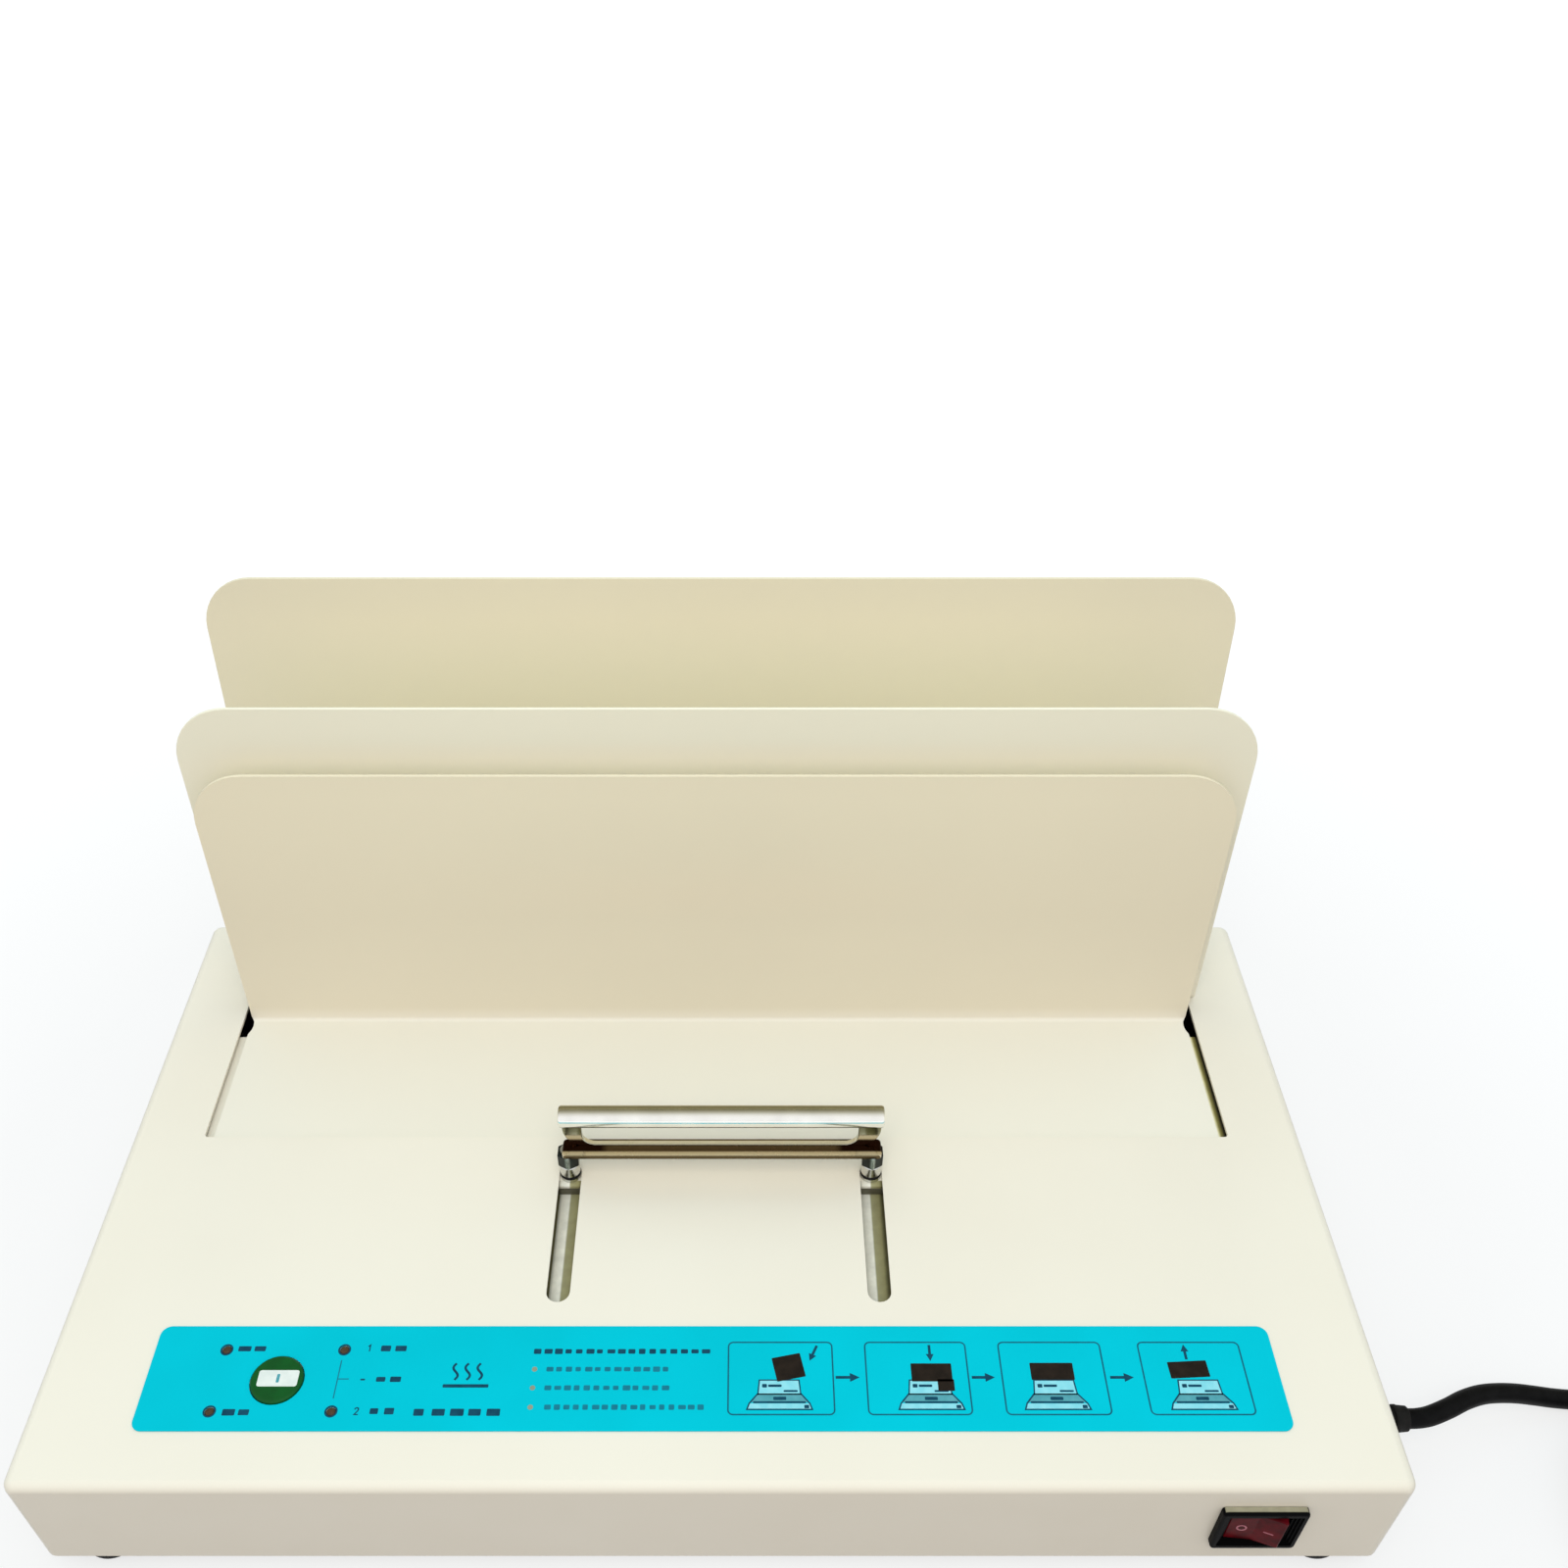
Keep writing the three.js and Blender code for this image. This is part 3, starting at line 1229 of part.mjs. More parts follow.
// The cord's way from the relief down to the table and to the coil, chosen by hand
const cordRoute = [
  [241.8, 44, 19.8],
  [245.2, 44.1, 19.8],
  [249.7, 44.9, 19.8],
  [257.4, 47.9, 19.7],
  [264.9, 51.7, 18.8],
  [272.4, 54.7, 17.1],
  [280.1, 56.7, 14.7],
  [287.9, 58, 12.1],
  [295.7, 58.7, 9.4],
  [303.6, 59.1, 6.9],
  [311.7, 59.5, 5.1],
  [319.9, 60.2, 4],
  [328.1, 60.9, 3.6],
  [336.4, 61.5, 3.5],
  [344.7, 61.7, 3.5],
];

// From the coil's upper layer round to the plug, chosen by hand
const plugRoute = [
  [359.3, 61.7, 10.95],
  [368, 62.3, 10.7],
  [378, 65.6, 9.8],
  [387, 71.8, 9.1],
  [393.6, 80.4, 9],
  [397, 90.5, 9.3],
  [398, 103.7, 9.7],
];

// The coil starts one cord's width after the route's end, and the plug's neck starts where its lead ends
const [routeEndX, routeEndY] = cordRoute[cordRoute.length - 1];
const coilX = routeEndX + fit + cordDiameter;
const coilY = routeEndY - coilOuterRadius;
const [plugX, leadEndY, plugZ] = plugRoute[plugRoute.length - 1];

const routeCurve = (route) => new THREE.CatmullRomCurve3(route.map(([x, y, z]) => new THREE.Vector3(x, y, z)), false, 'centripetal');

// Two flat layers: the loops spiral in, climb in the half turn where they reverse, and spiral out again
class CoilCurve extends THREE.Curve {
  constructor() {
    super();
    const mean = coilOuterRadius - (coilTurns * coilPitch) / 4;
    this.loopsLength = coilTurns * 2 * Math.PI * mean;
    this.total = this.loopsLength + 2 * cordDiameter;
  }

  getPoint(t) {
    const along = t * this.total - cordDiameter;
    const turns = THREE.MathUtils.clamp(along / this.loopsLength, 0, 1) * coilTurns;
    const half = coilTurns / 2;
    const radius = coilOuterRadius - coilPitch * (half - Math.abs(turns - half));
    const climb = THREE.MathUtils.smoothstep(turns, half - 0.25, half + 0.25);
    const angle = Math.PI / 2 - 2 * Math.PI * turns;
    const past = along < 0 ? along : Math.max(along - this.loopsLength, 0);
    return new THREE.Vector3(
      coilX + radius * Math.cos(angle) + past,
      coilY + radius * Math.sin(angle),
      cordRadius + climb * coilPitch,
    );
  }
}

// The least gap between turns that lie beside or on each other, measured on points of the middle line
function leastCoilGap(curve) {
  const points = curve.getSpacedPoints(coilTurns * 72);
  const near = 40;
  let least = Infinity;
  for (let i = 0; i < points.length; i++) {
    for (let j = i + near; j < points.length; j++) least = Math.min(least, points[i].distanceTo(points[j]));
  }
  return least - cordDiameter;
}

const coilCurve = new CoilCurve();
console.log(`least gap between the coil's turns: ${leastCoilGap(coilCurve).toFixed(2)} mm`);

function powerPlug() {
  const halfW = plugWidth / 2;
  const halfT = plugThickness / 2;
  const neckStartY = leadEndY + fit;
  const bodyY = neckStartY + plugNeckLength;
  const z = plugZ;
  const outline = roundedRectangle(
    plugX - halfW, plugX + halfW, bodyY, bodyY + plugLength, plugCornerRadius,
  );
  const body = raised(outline, z - halfT, z + halfT);
  const neckProfile = [
    [0, 0],
    [plugNeckRadius * 0.85, 0],
    [plugNeckRadius * 1.3, bodyY - neckStartY],
    [plugNeckRadius * 1.3, bodyY - neckStartY + plugNeckLength / 2],
    [0, bodyY - neckStartY + plugNeckLength / 2],
  ];
  const neck = turnedAlongY(neckProfile, 16, plugX, neckStartY, z);
  const pinY = bodyY + plugLength - sheet;
  const pin = (x, up, slant) => {
    const geometry = new THREE.BoxGeometry(pinThickness, pinLength + sheet, pinWidth);
    geometry.rotateY(slant);
    geometry.translate(plugX + x, pinY + (pinLength + sheet) / 2, z + up);
    return solid(geometry);
  };
  return join(
    body, neck,
    pin(-pinSpread / 2, -pinDrop / 2, pinSlant),
    pin(pinSpread / 2, -pinDrop / 2, -pinSlant),
    pin(0, earthPinRise, 0),
  );
}

// Put the machine together: the box first, then what is fixed in it, then what moves
add('top_cover', topCover(), ivoryPaint());
add('base_tray', baseTray(), zincSteel());
add('middle_panel', middlePanel(), ivoryPaint());
add('rear_panel', rearPanel(), ivoryPaint());
add('control_label', controlLabel(), material(0x00c4e0, 0.35, 0));
for (const [place, x, y] of lampPlaces) add(`lamp_${place}`, statusLamp(x, y), material(0x6b3328, 0.3, 0));
add('control_board', controlBoard(), material(0x1e5a34, 0.6, 0));
add('board_bracket', boardBracket(), zincSteel());
add('push_switch', pushSwitch(), blackPlastic());
add('transformer_core', transformerCore(), darkSteel());
add('transformer_winding', transformerWinding(), material(0xd9a441, 0.6, 0));
add('terminal_block', terminalBlock(), whiteNylon());
add('heating_plate', heatingPlate(), aluminium());
add('heater_element', heaterElement(), material(0xc9a66b, 0.6, 0));
add('insulation_board', insulationBoard(), material(0xded8c8, 0.9, 0));
add('thermostat', thermostat(), blackPlastic());
add('thermal_fuse', thermalFuse(), zincSteel());
for (const [name, side] of sides) {
  add(`heater_bracket_${name}`, heaterBracket(side), ivoryPaint());
  add(`guide_rail_${name}`, guideRail(side), zincSteel());
  add(`return_spring_${name}`, returnSpring(side), zincSteel());
}
add('switch_housing', switchHousing(), blackPlastic());
for (const [place, x, y] of footPlaces) add(`foot_${place}`, rubberFoot(x, y), blackRubber());
for (const [place, y] of sideScrewPlaces) {
  const half = bodyWidth / 2;
  const leftProfile = mirroredProfile(screwProfile());
  add(`cover_screw_left_${place}`, turnedAlongX(leftProfile, 12, -half, y, sideScrewZ), zincSteel());
  add(`cover_screw_right_${place}`, turnedAlongX(screwProfile(), 12, half, y, sideScrewZ), zincSteel());
}
for (const [place, x] of rearScrewPlaces) {
  const y = bodyDepth + fit + sheet;
  add(`rear_panel_screw_${place}`, turnedAlongY(screwProfile(), 12, x, y, rearScrewZ), zincSteel());
}
for (const [place, x] of middleScrewPlaces) {
  const z = topZ + fit + sheet;
  add(`middle_panel_screw_${place}`, turned(screwProfile(), 12, x, middleScrewY, z), zincSteel());
}
add('strain_relief', strainRelief(), blackRubber());
add('power_cord', tube(routeCurve(cordRoute), cordRadius, cordSides, 9), blackRubber());
add('cord_coil', tube(coilCurve, cordRadius, coilSides, coilTurns * coilStepsPerTurn), blackRubber());
add('plug_lead', tube(routeCurve(plugRoute), cordRadius, cordSides, 6), blackRubber());
add('power_plug', powerPlug(), blackPlastic());
add('clamp_plate', clampPlate(), ivoryPaint());
add('pull_handle', pullHandle(), chrome());
for (const [name, side] of sides) {
  add(`handle_post_${name}`, handlePost(side), zincSteel());
  add(`post_sleeve_${name}`, postSleeve(side), chrome());
  add(`post_ring_${name}`, postRing(side), blackRubber());
  add(`post_nut_${name}`, postNut(side), darkSteel());
  add(`guide_shoe_${name}`, guideShoe(side), zincSteel());
}
add('start_button', startButton(), material(0x0d5c26, 0.35, 0));
add('switch_rocker', switchRocker(), material(0x8c1420, 0.25, 0));

// The origin is on the table, under the middle of the machine without its cord
const rockerEndY = rockerValley + (rockerWidth / 2) * Math.tan(rockerFacet);
const frontReachY = rockerPivotY - rockerEndY * Math.cos(rockerTilt) - (rockerWidth / 2) * Math.sin(rockerTilt);
const rearReachY = bodyDepth + fit + sheet + rearPanelHeight * Math.tan(rearPanelLean);
machine.position.y = -(frontReachY + rearReachY) / 2;
machine.updateMatrixWorld(true);

export default machine;
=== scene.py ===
# %% [markdown]
# # A thermal binding machine
# The machine is a low steel box with a chrome pull, a cyan control label and three upright panels. Its
# CAD model holds every piece at its real size. This lesson dresses that model: it gives the steel its
# rounded edges and powder coat, prints the label, winds up the mains cord, and lights it all. Loading
# the frame comes first, because every later piece takes its place from it.

# %% Load the CAD frame
import json
import math

import bmesh
import bpy
import numpy as np
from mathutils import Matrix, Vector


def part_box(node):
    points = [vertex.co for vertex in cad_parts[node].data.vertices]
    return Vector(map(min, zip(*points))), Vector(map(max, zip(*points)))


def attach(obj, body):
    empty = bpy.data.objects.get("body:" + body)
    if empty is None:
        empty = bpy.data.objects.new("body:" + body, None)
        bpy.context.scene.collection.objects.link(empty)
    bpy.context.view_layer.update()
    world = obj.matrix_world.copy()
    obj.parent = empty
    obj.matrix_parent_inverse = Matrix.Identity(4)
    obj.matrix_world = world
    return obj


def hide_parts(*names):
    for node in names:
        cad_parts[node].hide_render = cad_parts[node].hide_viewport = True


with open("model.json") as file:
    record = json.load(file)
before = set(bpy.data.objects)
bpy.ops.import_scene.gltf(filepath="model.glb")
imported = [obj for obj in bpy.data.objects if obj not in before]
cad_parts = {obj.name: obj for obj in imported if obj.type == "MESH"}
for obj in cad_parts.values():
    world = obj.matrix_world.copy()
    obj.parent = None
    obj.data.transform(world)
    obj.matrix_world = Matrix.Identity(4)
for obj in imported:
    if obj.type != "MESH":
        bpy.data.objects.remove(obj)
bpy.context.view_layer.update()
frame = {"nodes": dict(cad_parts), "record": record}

MM = 0.001
nodes = frame["nodes"]
slot_of_node = {entry["node"]: entry["material_slot"] for entry in frame["record"]["subparts"]}
body_of_node = {node: body for body, members in frame["record"]["behaviour"]["bodies"].items()
                for node in members}


def box_mm(node):
    """The node's lowest and highest corner, in millimetres."""
    return np.array(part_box(node)) / MM


(_, front_wall, _), (right_wall, _, top_z) = box_mm("top_cover")
print(f"{len(nodes)} CAD nodes; the cover's front is at y {front_wall:.2f}, its top at z {top_z:.2f} mm")


# %% [markdown]
# ## The camera
# The photograph looks down from the operator's side. Its lens was worked out from the edges of the
# cover, the label and the panels: the axis points 43 degrees down, and a small lens shift repeats the
# off-centre crop.

# %% Camera
def linked(name, data):
    """An object for the data, linked to the scene."""
    thing = bpy.data.objects.new(name, data)
    bpy.context.scene.collection.objects.link(thing)
    return thing


picture, focal_length, axis_x, axis_y = 1600, 1520.9, 763, 950
eye_x, eye_ahead, eye_z, look_down = 11.9, 219.1, 499.3, 43.13
lens = bpy.data.cameras.new("camera")
lens.sensor_width = 36
lens.lens = 36 * focal_length / picture
lens.shift_x = (picture / 2 - axis_x) / picture
lens.shift_y = (axis_y - picture / 2) / picture
lens.clip_start = 0.02
camera = linked("camera", lens)
camera.location = (eye_x * MM, (front_wall - eye_ahead) * MM, eye_z * MM)
camera.rotation_euler = (math.radians(90 - look_down), 0, 0)
bpy.context.scene.camera = camera
print(f"lens {lens.lens:.2f} mm, {eye_z:.0f} mm above the table")


# %% [markdown]
# ## Surfaces from arrays
# Most new pieces are grids of points, in millimetres: one parameter runs along the piece and the other
# round it. These helpers turn them into closed meshes. Where a row shrinks to one point its corners are
# merged, and the faces are then turned outwards.

# %% Mesh helpers
SHARP_ANGLE = 35


def smooth(mesh, sharp):
    """Smooth shading up to `sharp` degrees, without any normals that came with the mesh."""
    mesh.polygons.foreach_set("use_smooth", np.ones(len(mesh.polygons), bool))
    if mesh.has_custom_normals:
        mesh.normals_split_custom_set(np.zeros((len(mesh.loops), 3)).tolist())
    mesh.set_sharp_from_angle(angle=math.radians(sharp))


def finished_mesh(name, points, faces, sharp=SHARP_ANGLE):
    """One object from points in millimetres and faces: doubles merged and faces outwards."""
    mesh = bpy.data.meshes.new(name)
    mesh.from_pydata((np.asarray(points, float) * MM).tolist(), [], faces)
    shape = bmesh.new()
    shape.from_mesh(mesh)
    bmesh.ops.remove_doubles(shape, verts=shape.verts, dist=1e-6)
    bmesh.ops.recalc_face_normals(shape, faces=shape.faces)
    shape.to_mesh(mesh)
    shape.free()
    smooth(mesh, sharp)
    return linked(name, mesh)


def grid_faces(rows, columns, offset, loop):
    """Faces between neighbouring rows, whose columns close round. A loop also joins the last row to the
    first, and otherwise one face caps each end."""
    index = np.arange(rows * columns).reshape(rows, columns) + offset
    lower = index if loop else index[:-1]
    upper = np.roll(index, -1, 0) if loop else index[1:]
    corners = [lower, np.roll(lower, -1, 1), np.roll(upper, -1, 1), upper]
    caps = [] if loop else [index[0][::-1].tolist(), index[-1].tolist()]
    return np.stack(corners, -1).reshape(-1, 4).tolist() + caps


def surface(name, grids=(), rings=(), sharp=SHARP_ANGLE):
    """One object from grids of points: `grids` are capped at both ends, `rings` close on themselves."""
    points, faces, count = [], [], 0
    for grid, loop in [(grid, False) for grid in grids] + [(ring, True) for ring in rings]:
        faces += grid_faces(*grid.shape[:2], count, loop)
        points.append(grid.reshape(-1, 3))
        count += len(points[-1])
    return finished_mesh(name, np.vstack(points), faces, sharp)


def soften(piece, edge):
    """Rounds the sharp edges by `edge` millimetres and keeps flat faces shaded flat."""
    bevel = piece.modifiers.new("rounded edges", "BEVEL")
    bevel.width = edge * MM
    bevel.segments = 2
    bevel.limit_method = "ANGLE"
    bevel.angle_limit = math.radians(SHARP_ANGLE)
    bevel.harden_normals = True
    piece.modifiers.new("flat faces stay flat", "WEIGHTED_NORMAL").keep_sharp = True


# %% [markdown]
# ## Turned pieces
# A lamp, a foot or a sleeve is a profile of radius and height, spun round an axis. The whole surface
# is the product of two arrays: the radii, and the cosines and sines of the angles round the axis.

# %% Turned surface
def circle(count, start=0.0):
    """(cos, sin)(angle j), counter-clockwise, as an array of points."""
    angle = start + np.linspace(0, 2 * np.pi, count, endpoint=False)
    return np.stack([np.cos(angle), np.sin(angle)], -1)


def turned(name, profile, place, axis="z", sides=48, sharp=SHARP_ANGLE, ring=False):
    """radius(i) * (cos, sin)(angle j) across the axis, height(i) along it, then moved to `place`.
    A ring's profile is a closed outline that never reaches the axis."""
    radius, height = np.array(profile, float).T[..., None]
    across, around = radius * circle(sides).T[:, None]
    along = np.repeat(height, sides, 1)
    order = {"z": (across, around, along), "x": (along, across, around)}[axis]
    points = [np.stack(order, -1) + place]
    return surface(name, [] if ring else points, points if ring else [], sharp)


def joins(piece, node, coat=None):
    """Paints the piece with its own coat, or else with the finish of the node's slot, and lets it ride with
    the node's body.
    """
    slot = slot_of_node[node]
    piece.data.materials.append(coat or finish_of_slot[slot])
    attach(piece, body_of_node[node])


def stands_for(piece, *replaced, coat=None):
    """Joins the first of the CAD nodes that the piece replaces."""
    joins(piece, replaced[0], coat)
    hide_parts(*replaced)


# %% [markdown]
# ## Procedural finishes
# Every finish is one Principled shader, and three small helpers add what a real surface has: a slight
# drift of colour, an uneven gloss, and a fine relief. They read Object coordinates in metres, so a
# scale of 800 gives grains a little over a millimetre across. Colours are written as a screen shows
# them, from 0 to 255.

# %% Node helpers
def linear(colour):
    """A screen colour as the linear colour that the shader wants."""
    share = np.array(colour, float) / 255
    return (*np.where(share <= 0.04045, share / 12.92, ((share + 0.055) / 1.055) ** 2.4), 1.0)


def add_node(owner, kind, settings=(), **inputs):
    """Adds a node to a material or the world. An input that is a node's output gets a link, and any
    other value is set; i0, i1 and so on name an input by its number."""
    node = owner.node_tree.nodes.new("ShaderNode" + kind)
    for key, value in dict(settings).items():
        setattr(node, key, value)
    for key, value in inputs.items():
        numbered = key[0] == "i" and key[1:].isdigit()
        socket = node.inputs[int(key[1:]) if numbered else key.replace("_", " ")]
        if isinstance(value, bpy.types.NodeSocket):
            owner.node_tree.links.new(value, socket)
        else:
            socket.default_value = value
    return node


def wire(owner, kind, settings=(), **inputs):
    """The first output of a new node."""
    return add_node(owner, kind, settings, **inputs).outputs[0]


def maths(owner, operation, *values, kind="Math"):
    return wire(owner, kind, {"operation": operation}, **{f"i{k}": value for k, value in enumerate(values)})


def between(owner, value, low, high, start=0.0, end=1.0):
    """Runs evenly from start, where the value is low, to end, where it is high, and no further."""
    return wire(owner, "MapRange", Value=value, From_Min=low, From_Max=high, To_Min=start, To_Max=end)


def blend(coat, share, first, second):
    return add_node(coat, "Mix", {"data_type": "RGBA"}, i0=share, i6=first, i7=second).outputs[2]


def coordinate(coat, axis):
    """One Object coordinate, in metres."""
    place = add_node(coat, "TexCoord").outputs["Object"]
    return add_node(coat, "SeparateXYZ", i0=place).outputs[axis]


def feed(coat, value, socket="Base Color"):
    """Links a node's output to the shader, in place of any earlier link."""
    coat.node_tree.links.new(value, shader_of(coat).inputs[socket])


def shader_of(coat):
    return coat.node_tree.nodes["Principled BSDF"]


# %% Finish helpers
EVEN = (1, 1, 1)


def grain(coat, scale, stretch=EVEN, detail=2.0):
    """Noise with grains about 1/scale metres across, longer along an axis with a smaller stretch."""
    place = add_node(coat, "TexCoord").outputs["Object"]
    shaped = wire(coat, "Mapping", Vector=place, Scale=stretch)
    return wire(coat, "TexNoise", Vector=shaped, Scale=scale, Detail=detail)


def mottle(coat, other_colour, scale, stretch=EVEN, edges=(0.35, 0.65)):
    """Mixes a second colour into the first where the noise is high."""
    colour = tuple(shader_of(coat).inputs["Base Color"].default_value)
    share = between(coat, grain(coat, scale, stretch), *edges)
    feed(coat, blend(coat, share, colour, linear(other_colour)))


def uneven_gloss(coat, smoothest, roughest, scale, stretch=EVEN):
    """Roughness drifts between two values."""
    wavering = between(coat, grain(coat, scale, stretch, 3.0), 0.35, 0.65, smoothest, roughest)
    feed(coat, wavering, "Roughness")


def relief(coat, scale, depth, stretch=EVEN):
    """A fine bump, `depth` millimetres deep."""
    height = grain(coat, scale, stretch)
    feed(coat, wire(coat, "Bump", Height=height, Distance=depth * MM, Strength=1.0), "Normal")


def finish(name, colour, drift=None, gloss=None, bump=None, **sockets):
    """One material: constants are set on the shader's own sockets, and drift, gloss and bump hold what
    mottle, uneven_gloss and relief ask for."""
    coat = bpy.data.materials.new(name)
    coat.use_nodes = True
    coat.diffuse_color = linear(colour)
    shader_of(coat).inputs["Base Color"].default_value = linear(colour)
    for socket, value in sockets.items():
        shader_of(coat).inputs[socket.replace("_", " ")].default_value = value
    for helper, wishes in ((mottle, drift), (uneven_gloss, gloss), (relief, bump)):
        if wishes:
            helper(coat, *wishes)
    return coat


def ramp(coat, axis, first, last, *stops, period=None, drift=(0.9, 1.08), scale=260):
    """Colours the shader by one Object coordinate. Each stop is a share of the way from first to last,
    in mm, and a colour. With a period the coordinate is wrapped round, so that the ramp repeats."""
    along = coordinate(coat, axis)
    if period:
        along = maths(coat, "WRAP", along, (first + period) * MM, first * MM)
    node = add_node(coat, "ValToRGB", i0=between(coat, along, first * MM, last * MM))
    elements = node.color_ramp.elements
    for k, (at, *colour) in enumerate(stops):
        stop = elements[k] if k < len(elements) else elements.new(at)
        stop.position = at
        stop.color = linear(colour)
    speckle = between(coat, grain(coat, scale), 0.3, 0.7, *drift)
    speckled = maths(coat, "MULTIPLY", node.outputs[0], speckle, kind="VectorMath")
    feed(coat, speckled)
    return speckled


# %% [markdown]
# ## The paint
# The steel is powder coated in warm ivory. Powder coat has an orange-peel relief with dimples a
# millimetre or two wide, so highlights break up softly along the folds, and its colour drifts slightly
# over a hand's width, which keeps large flat faces from looking drawn.

# %% Ivory powder coat
ivory = (233, 228, 214)
powder = dict(gloss=(0.3, 0.42, 60), bump=(700, 0.012), Specular_IOR_Level=0.21)
finish_of_slot = dict(
    ivory_paint=finish("ivory powder coat", ivory, ((230, 224, 209), 9, EVEN, (0.3, 0.7)), **powder))


# %% [markdown]
# ## Steel, chrome and aluminium
# The hidden sheet parts are zinc-plated steel, with a faint grain from the rolling mill. The pull is
# polished chrome, where only the gloss wavers, and the heating plate is bare extruded aluminium with
# long drawing marks. Two finishes carry painted light and shade across a piece: the slots' floors,
# painted light on the left and painted shade on the right under the slots' right edges, and the right
# bracket's lip, painted from light to dark shade under the cover's edge. A ramp on the Object x
# coordinate makes both, and wrapping that coordinate round lets one ramp serve both slots.

# %% Metal finishes
finish_of_slot |= dict(
    zinc_steel=finish("zinc plated steel", (178, 178, 172), ((160, 162, 160), 45),
                      (0.34, 0.5, 300, (1, 6, 1)), Metallic=1.0),
    chrome_plate=finish("polished chrome", (246, 245, 240), ((238, 236, 230), 30), (0.09, 0.17, 120),
                        Metallic=1.0),
    dark_steel=finish("blackened steel", (36, 42, 42), gloss=(0.16, 0.3, 500), Metallic=1.0),
    plate_aluminium=finish("drawn aluminium", (190, 192, 194), ((172, 174, 176), 60, (0.05, 1, 1)),
                           bump=(900, 0.01, (0.03, 1, 1)), Metallic=1.0, Roughness=0.38))
sleeve_steel = finish("polished steel", (206, 206, 202), gloss=(0.16, 0.28, 600, (1, 1, 8)), Metallic=1.0)
# The shoes' steel is darkened as painted shade, to match the slots' shaded floors.
shoe_steel_painted_dark = finish("steel darkened as painted shade", (96, 94, 78), ((110, 108, 92), 200), Metallic=0.5, Roughness=0.5)

slot_x = (-53.6, 57.4)
slot_spacing = slot_x[1] - slot_x[0]
slot_reach = 4.1
stud_y = front_wall + 122.5


# Painted light on the left of each slot's floor and painted shade on the right, under the slot's right edge.
def slot_floor_painted_shade(coat):
    return ramp(coat, "X", slot_x[0] - slot_reach, slot_x[0] + slot_reach,
                (0.0, 170, 168, 154), (0.12, 226, 223, 208), (0.45, 250, 248, 236),
                (0.52, 166, 162, 124), (0.85, 156, 151, 108), (1.0, 92, 88, 56), period=slot_spacing)


slot_floor = finish("slot floor with painted shade", (200, 198, 184), Metallic=0.2, Roughness=0.4)
slot_floor_painted_shade(slot_floor)
# The right bracket's lip: painted light at its inner side, darkening to painted shade under the cover's edge.
lip_painted_shade = finish("bracket lip with painted shade", (120, 112, 70), Roughness=0.6)
ramp(lip_painted_shade, "X", 190.9, 193.9,
     (0.0, 252, 248, 222), (0.28, 236, 228, 182), (0.55, 136, 128, 68), (1.0, 36, 32, 12))


# %% [markdown]
# ## Panels beside the heat
# The three panels stand round the heated slot. Their coats are a little yellower than the cover's, most
# on the clamp plate: partly a yellowed coat, partly painted warm light. The tongue under the fold keeps
# the cover's ivory. A ramp on the Object z coordinate paints light and shade by height: the clamp plate
# is darker just above the fold and lighter towards its top, and the rear panel darker towards its top.
# The tongue's front strip, which shows through the slots, carries the same painted shade as their floors.

# %% Panel coats
def panel_coat_with_painted_light(name, last, *stops):
    """A powder coat with painted light and shade by height, from the fold at 54 mm up to `last`."""
    coat = finish(name, ivory, **powder)
    return coat, ramp(coat, "Z", 54.0, last, *stops, drift=(0.99, 1.01), scale=9)


# The clamp plate's ramp paints shade just above the fold and light towards its top.
clamp_coat, clamp_colour = panel_coat_with_painted_light(
    "clamp plate coat", 165.0,
    (0.0, 233, 229, 216), (0.07, 223, 216, 195), (0.5, 225, 217, 194), (1.0, 234, 226, 201))
# The strip that shows through the slots takes the slots' painted shade.
in_strip = between(clamp_coat, coordinate(clamp_coat, "Y"), (stud_y - 2.2) * MM, (stud_y - 2.6) * MM)
feed(clamp_coat, blend(clamp_coat, in_strip, clamp_colour, slot_floor_painted_shade(clamp_coat)))
middle_coat, _ = panel_coat_with_painted_light("middle panel coat", 165.0, (0.0, 238, 234, 215), (1.0, 240, 237, 217))
# The rear panel's ramp paints it darker towards its top.
rear_coat, _ = panel_coat_with_painted_light(
    "rear panel coat", 215.0, (0.0, 239, 230, 205), (0.6, 236, 229, 203), (1.0, 229, 223, 198))


# %% [markdown]
# ## Plastics, rubber and film
# The label is a printed film, the start button and the rocker are moulded in clear colours, and the
# unlit lamps look a dull red-brown. The switch body, the cord, the plug and the feet are black, each
# with its own grain, because they catch the light differently. The top of the switch's bezel is
# painted a light olive, as painted light falling on it from above.

# %% Film, plastic and rubber finishes
finish_of_slot |= {
    slot: finish(name, colour, (drift, scale), bump=bump, Roughness=roughness, Specular_IOR_Level=shine)
    for slot, name, colour, drift, scale, bump, roughness, shine in (
        ("label_film", "cyan label film", (0, 190, 209), (0, 185, 203), 25, (1500, 0.004), 0.32, 0.03),
        ("button_green", "green button plastic", (8, 84, 30), (10, 76, 28), 200, (2500, 0.003), 0.3, 0.2),
        ("lamp_lens", "unlit lamp plastic", (66, 54, 40), (80, 62, 44), 700, None, 0.22, 0.2),
        ("rocker_red", "dark red rocker plastic", (92, 10, 20), (66, 8, 14), 260, None, 0.3, 0.04),
        ("black_plastic", "black moulded plastic", (12, 12, 13), (20, 20, 21), 500, (3000, 0.006), 0.4, 0.04),
        ("black_rubber", "black rubber", (16, 16, 16), (26, 25, 24), 350, (2200, 0.01), 0.72, 0.2),
        ("cord_sheath", "black cord sheath", (8, 8, 9), (14, 14, 15), 240, (1600, 0.012), 0.5, 0.08))}
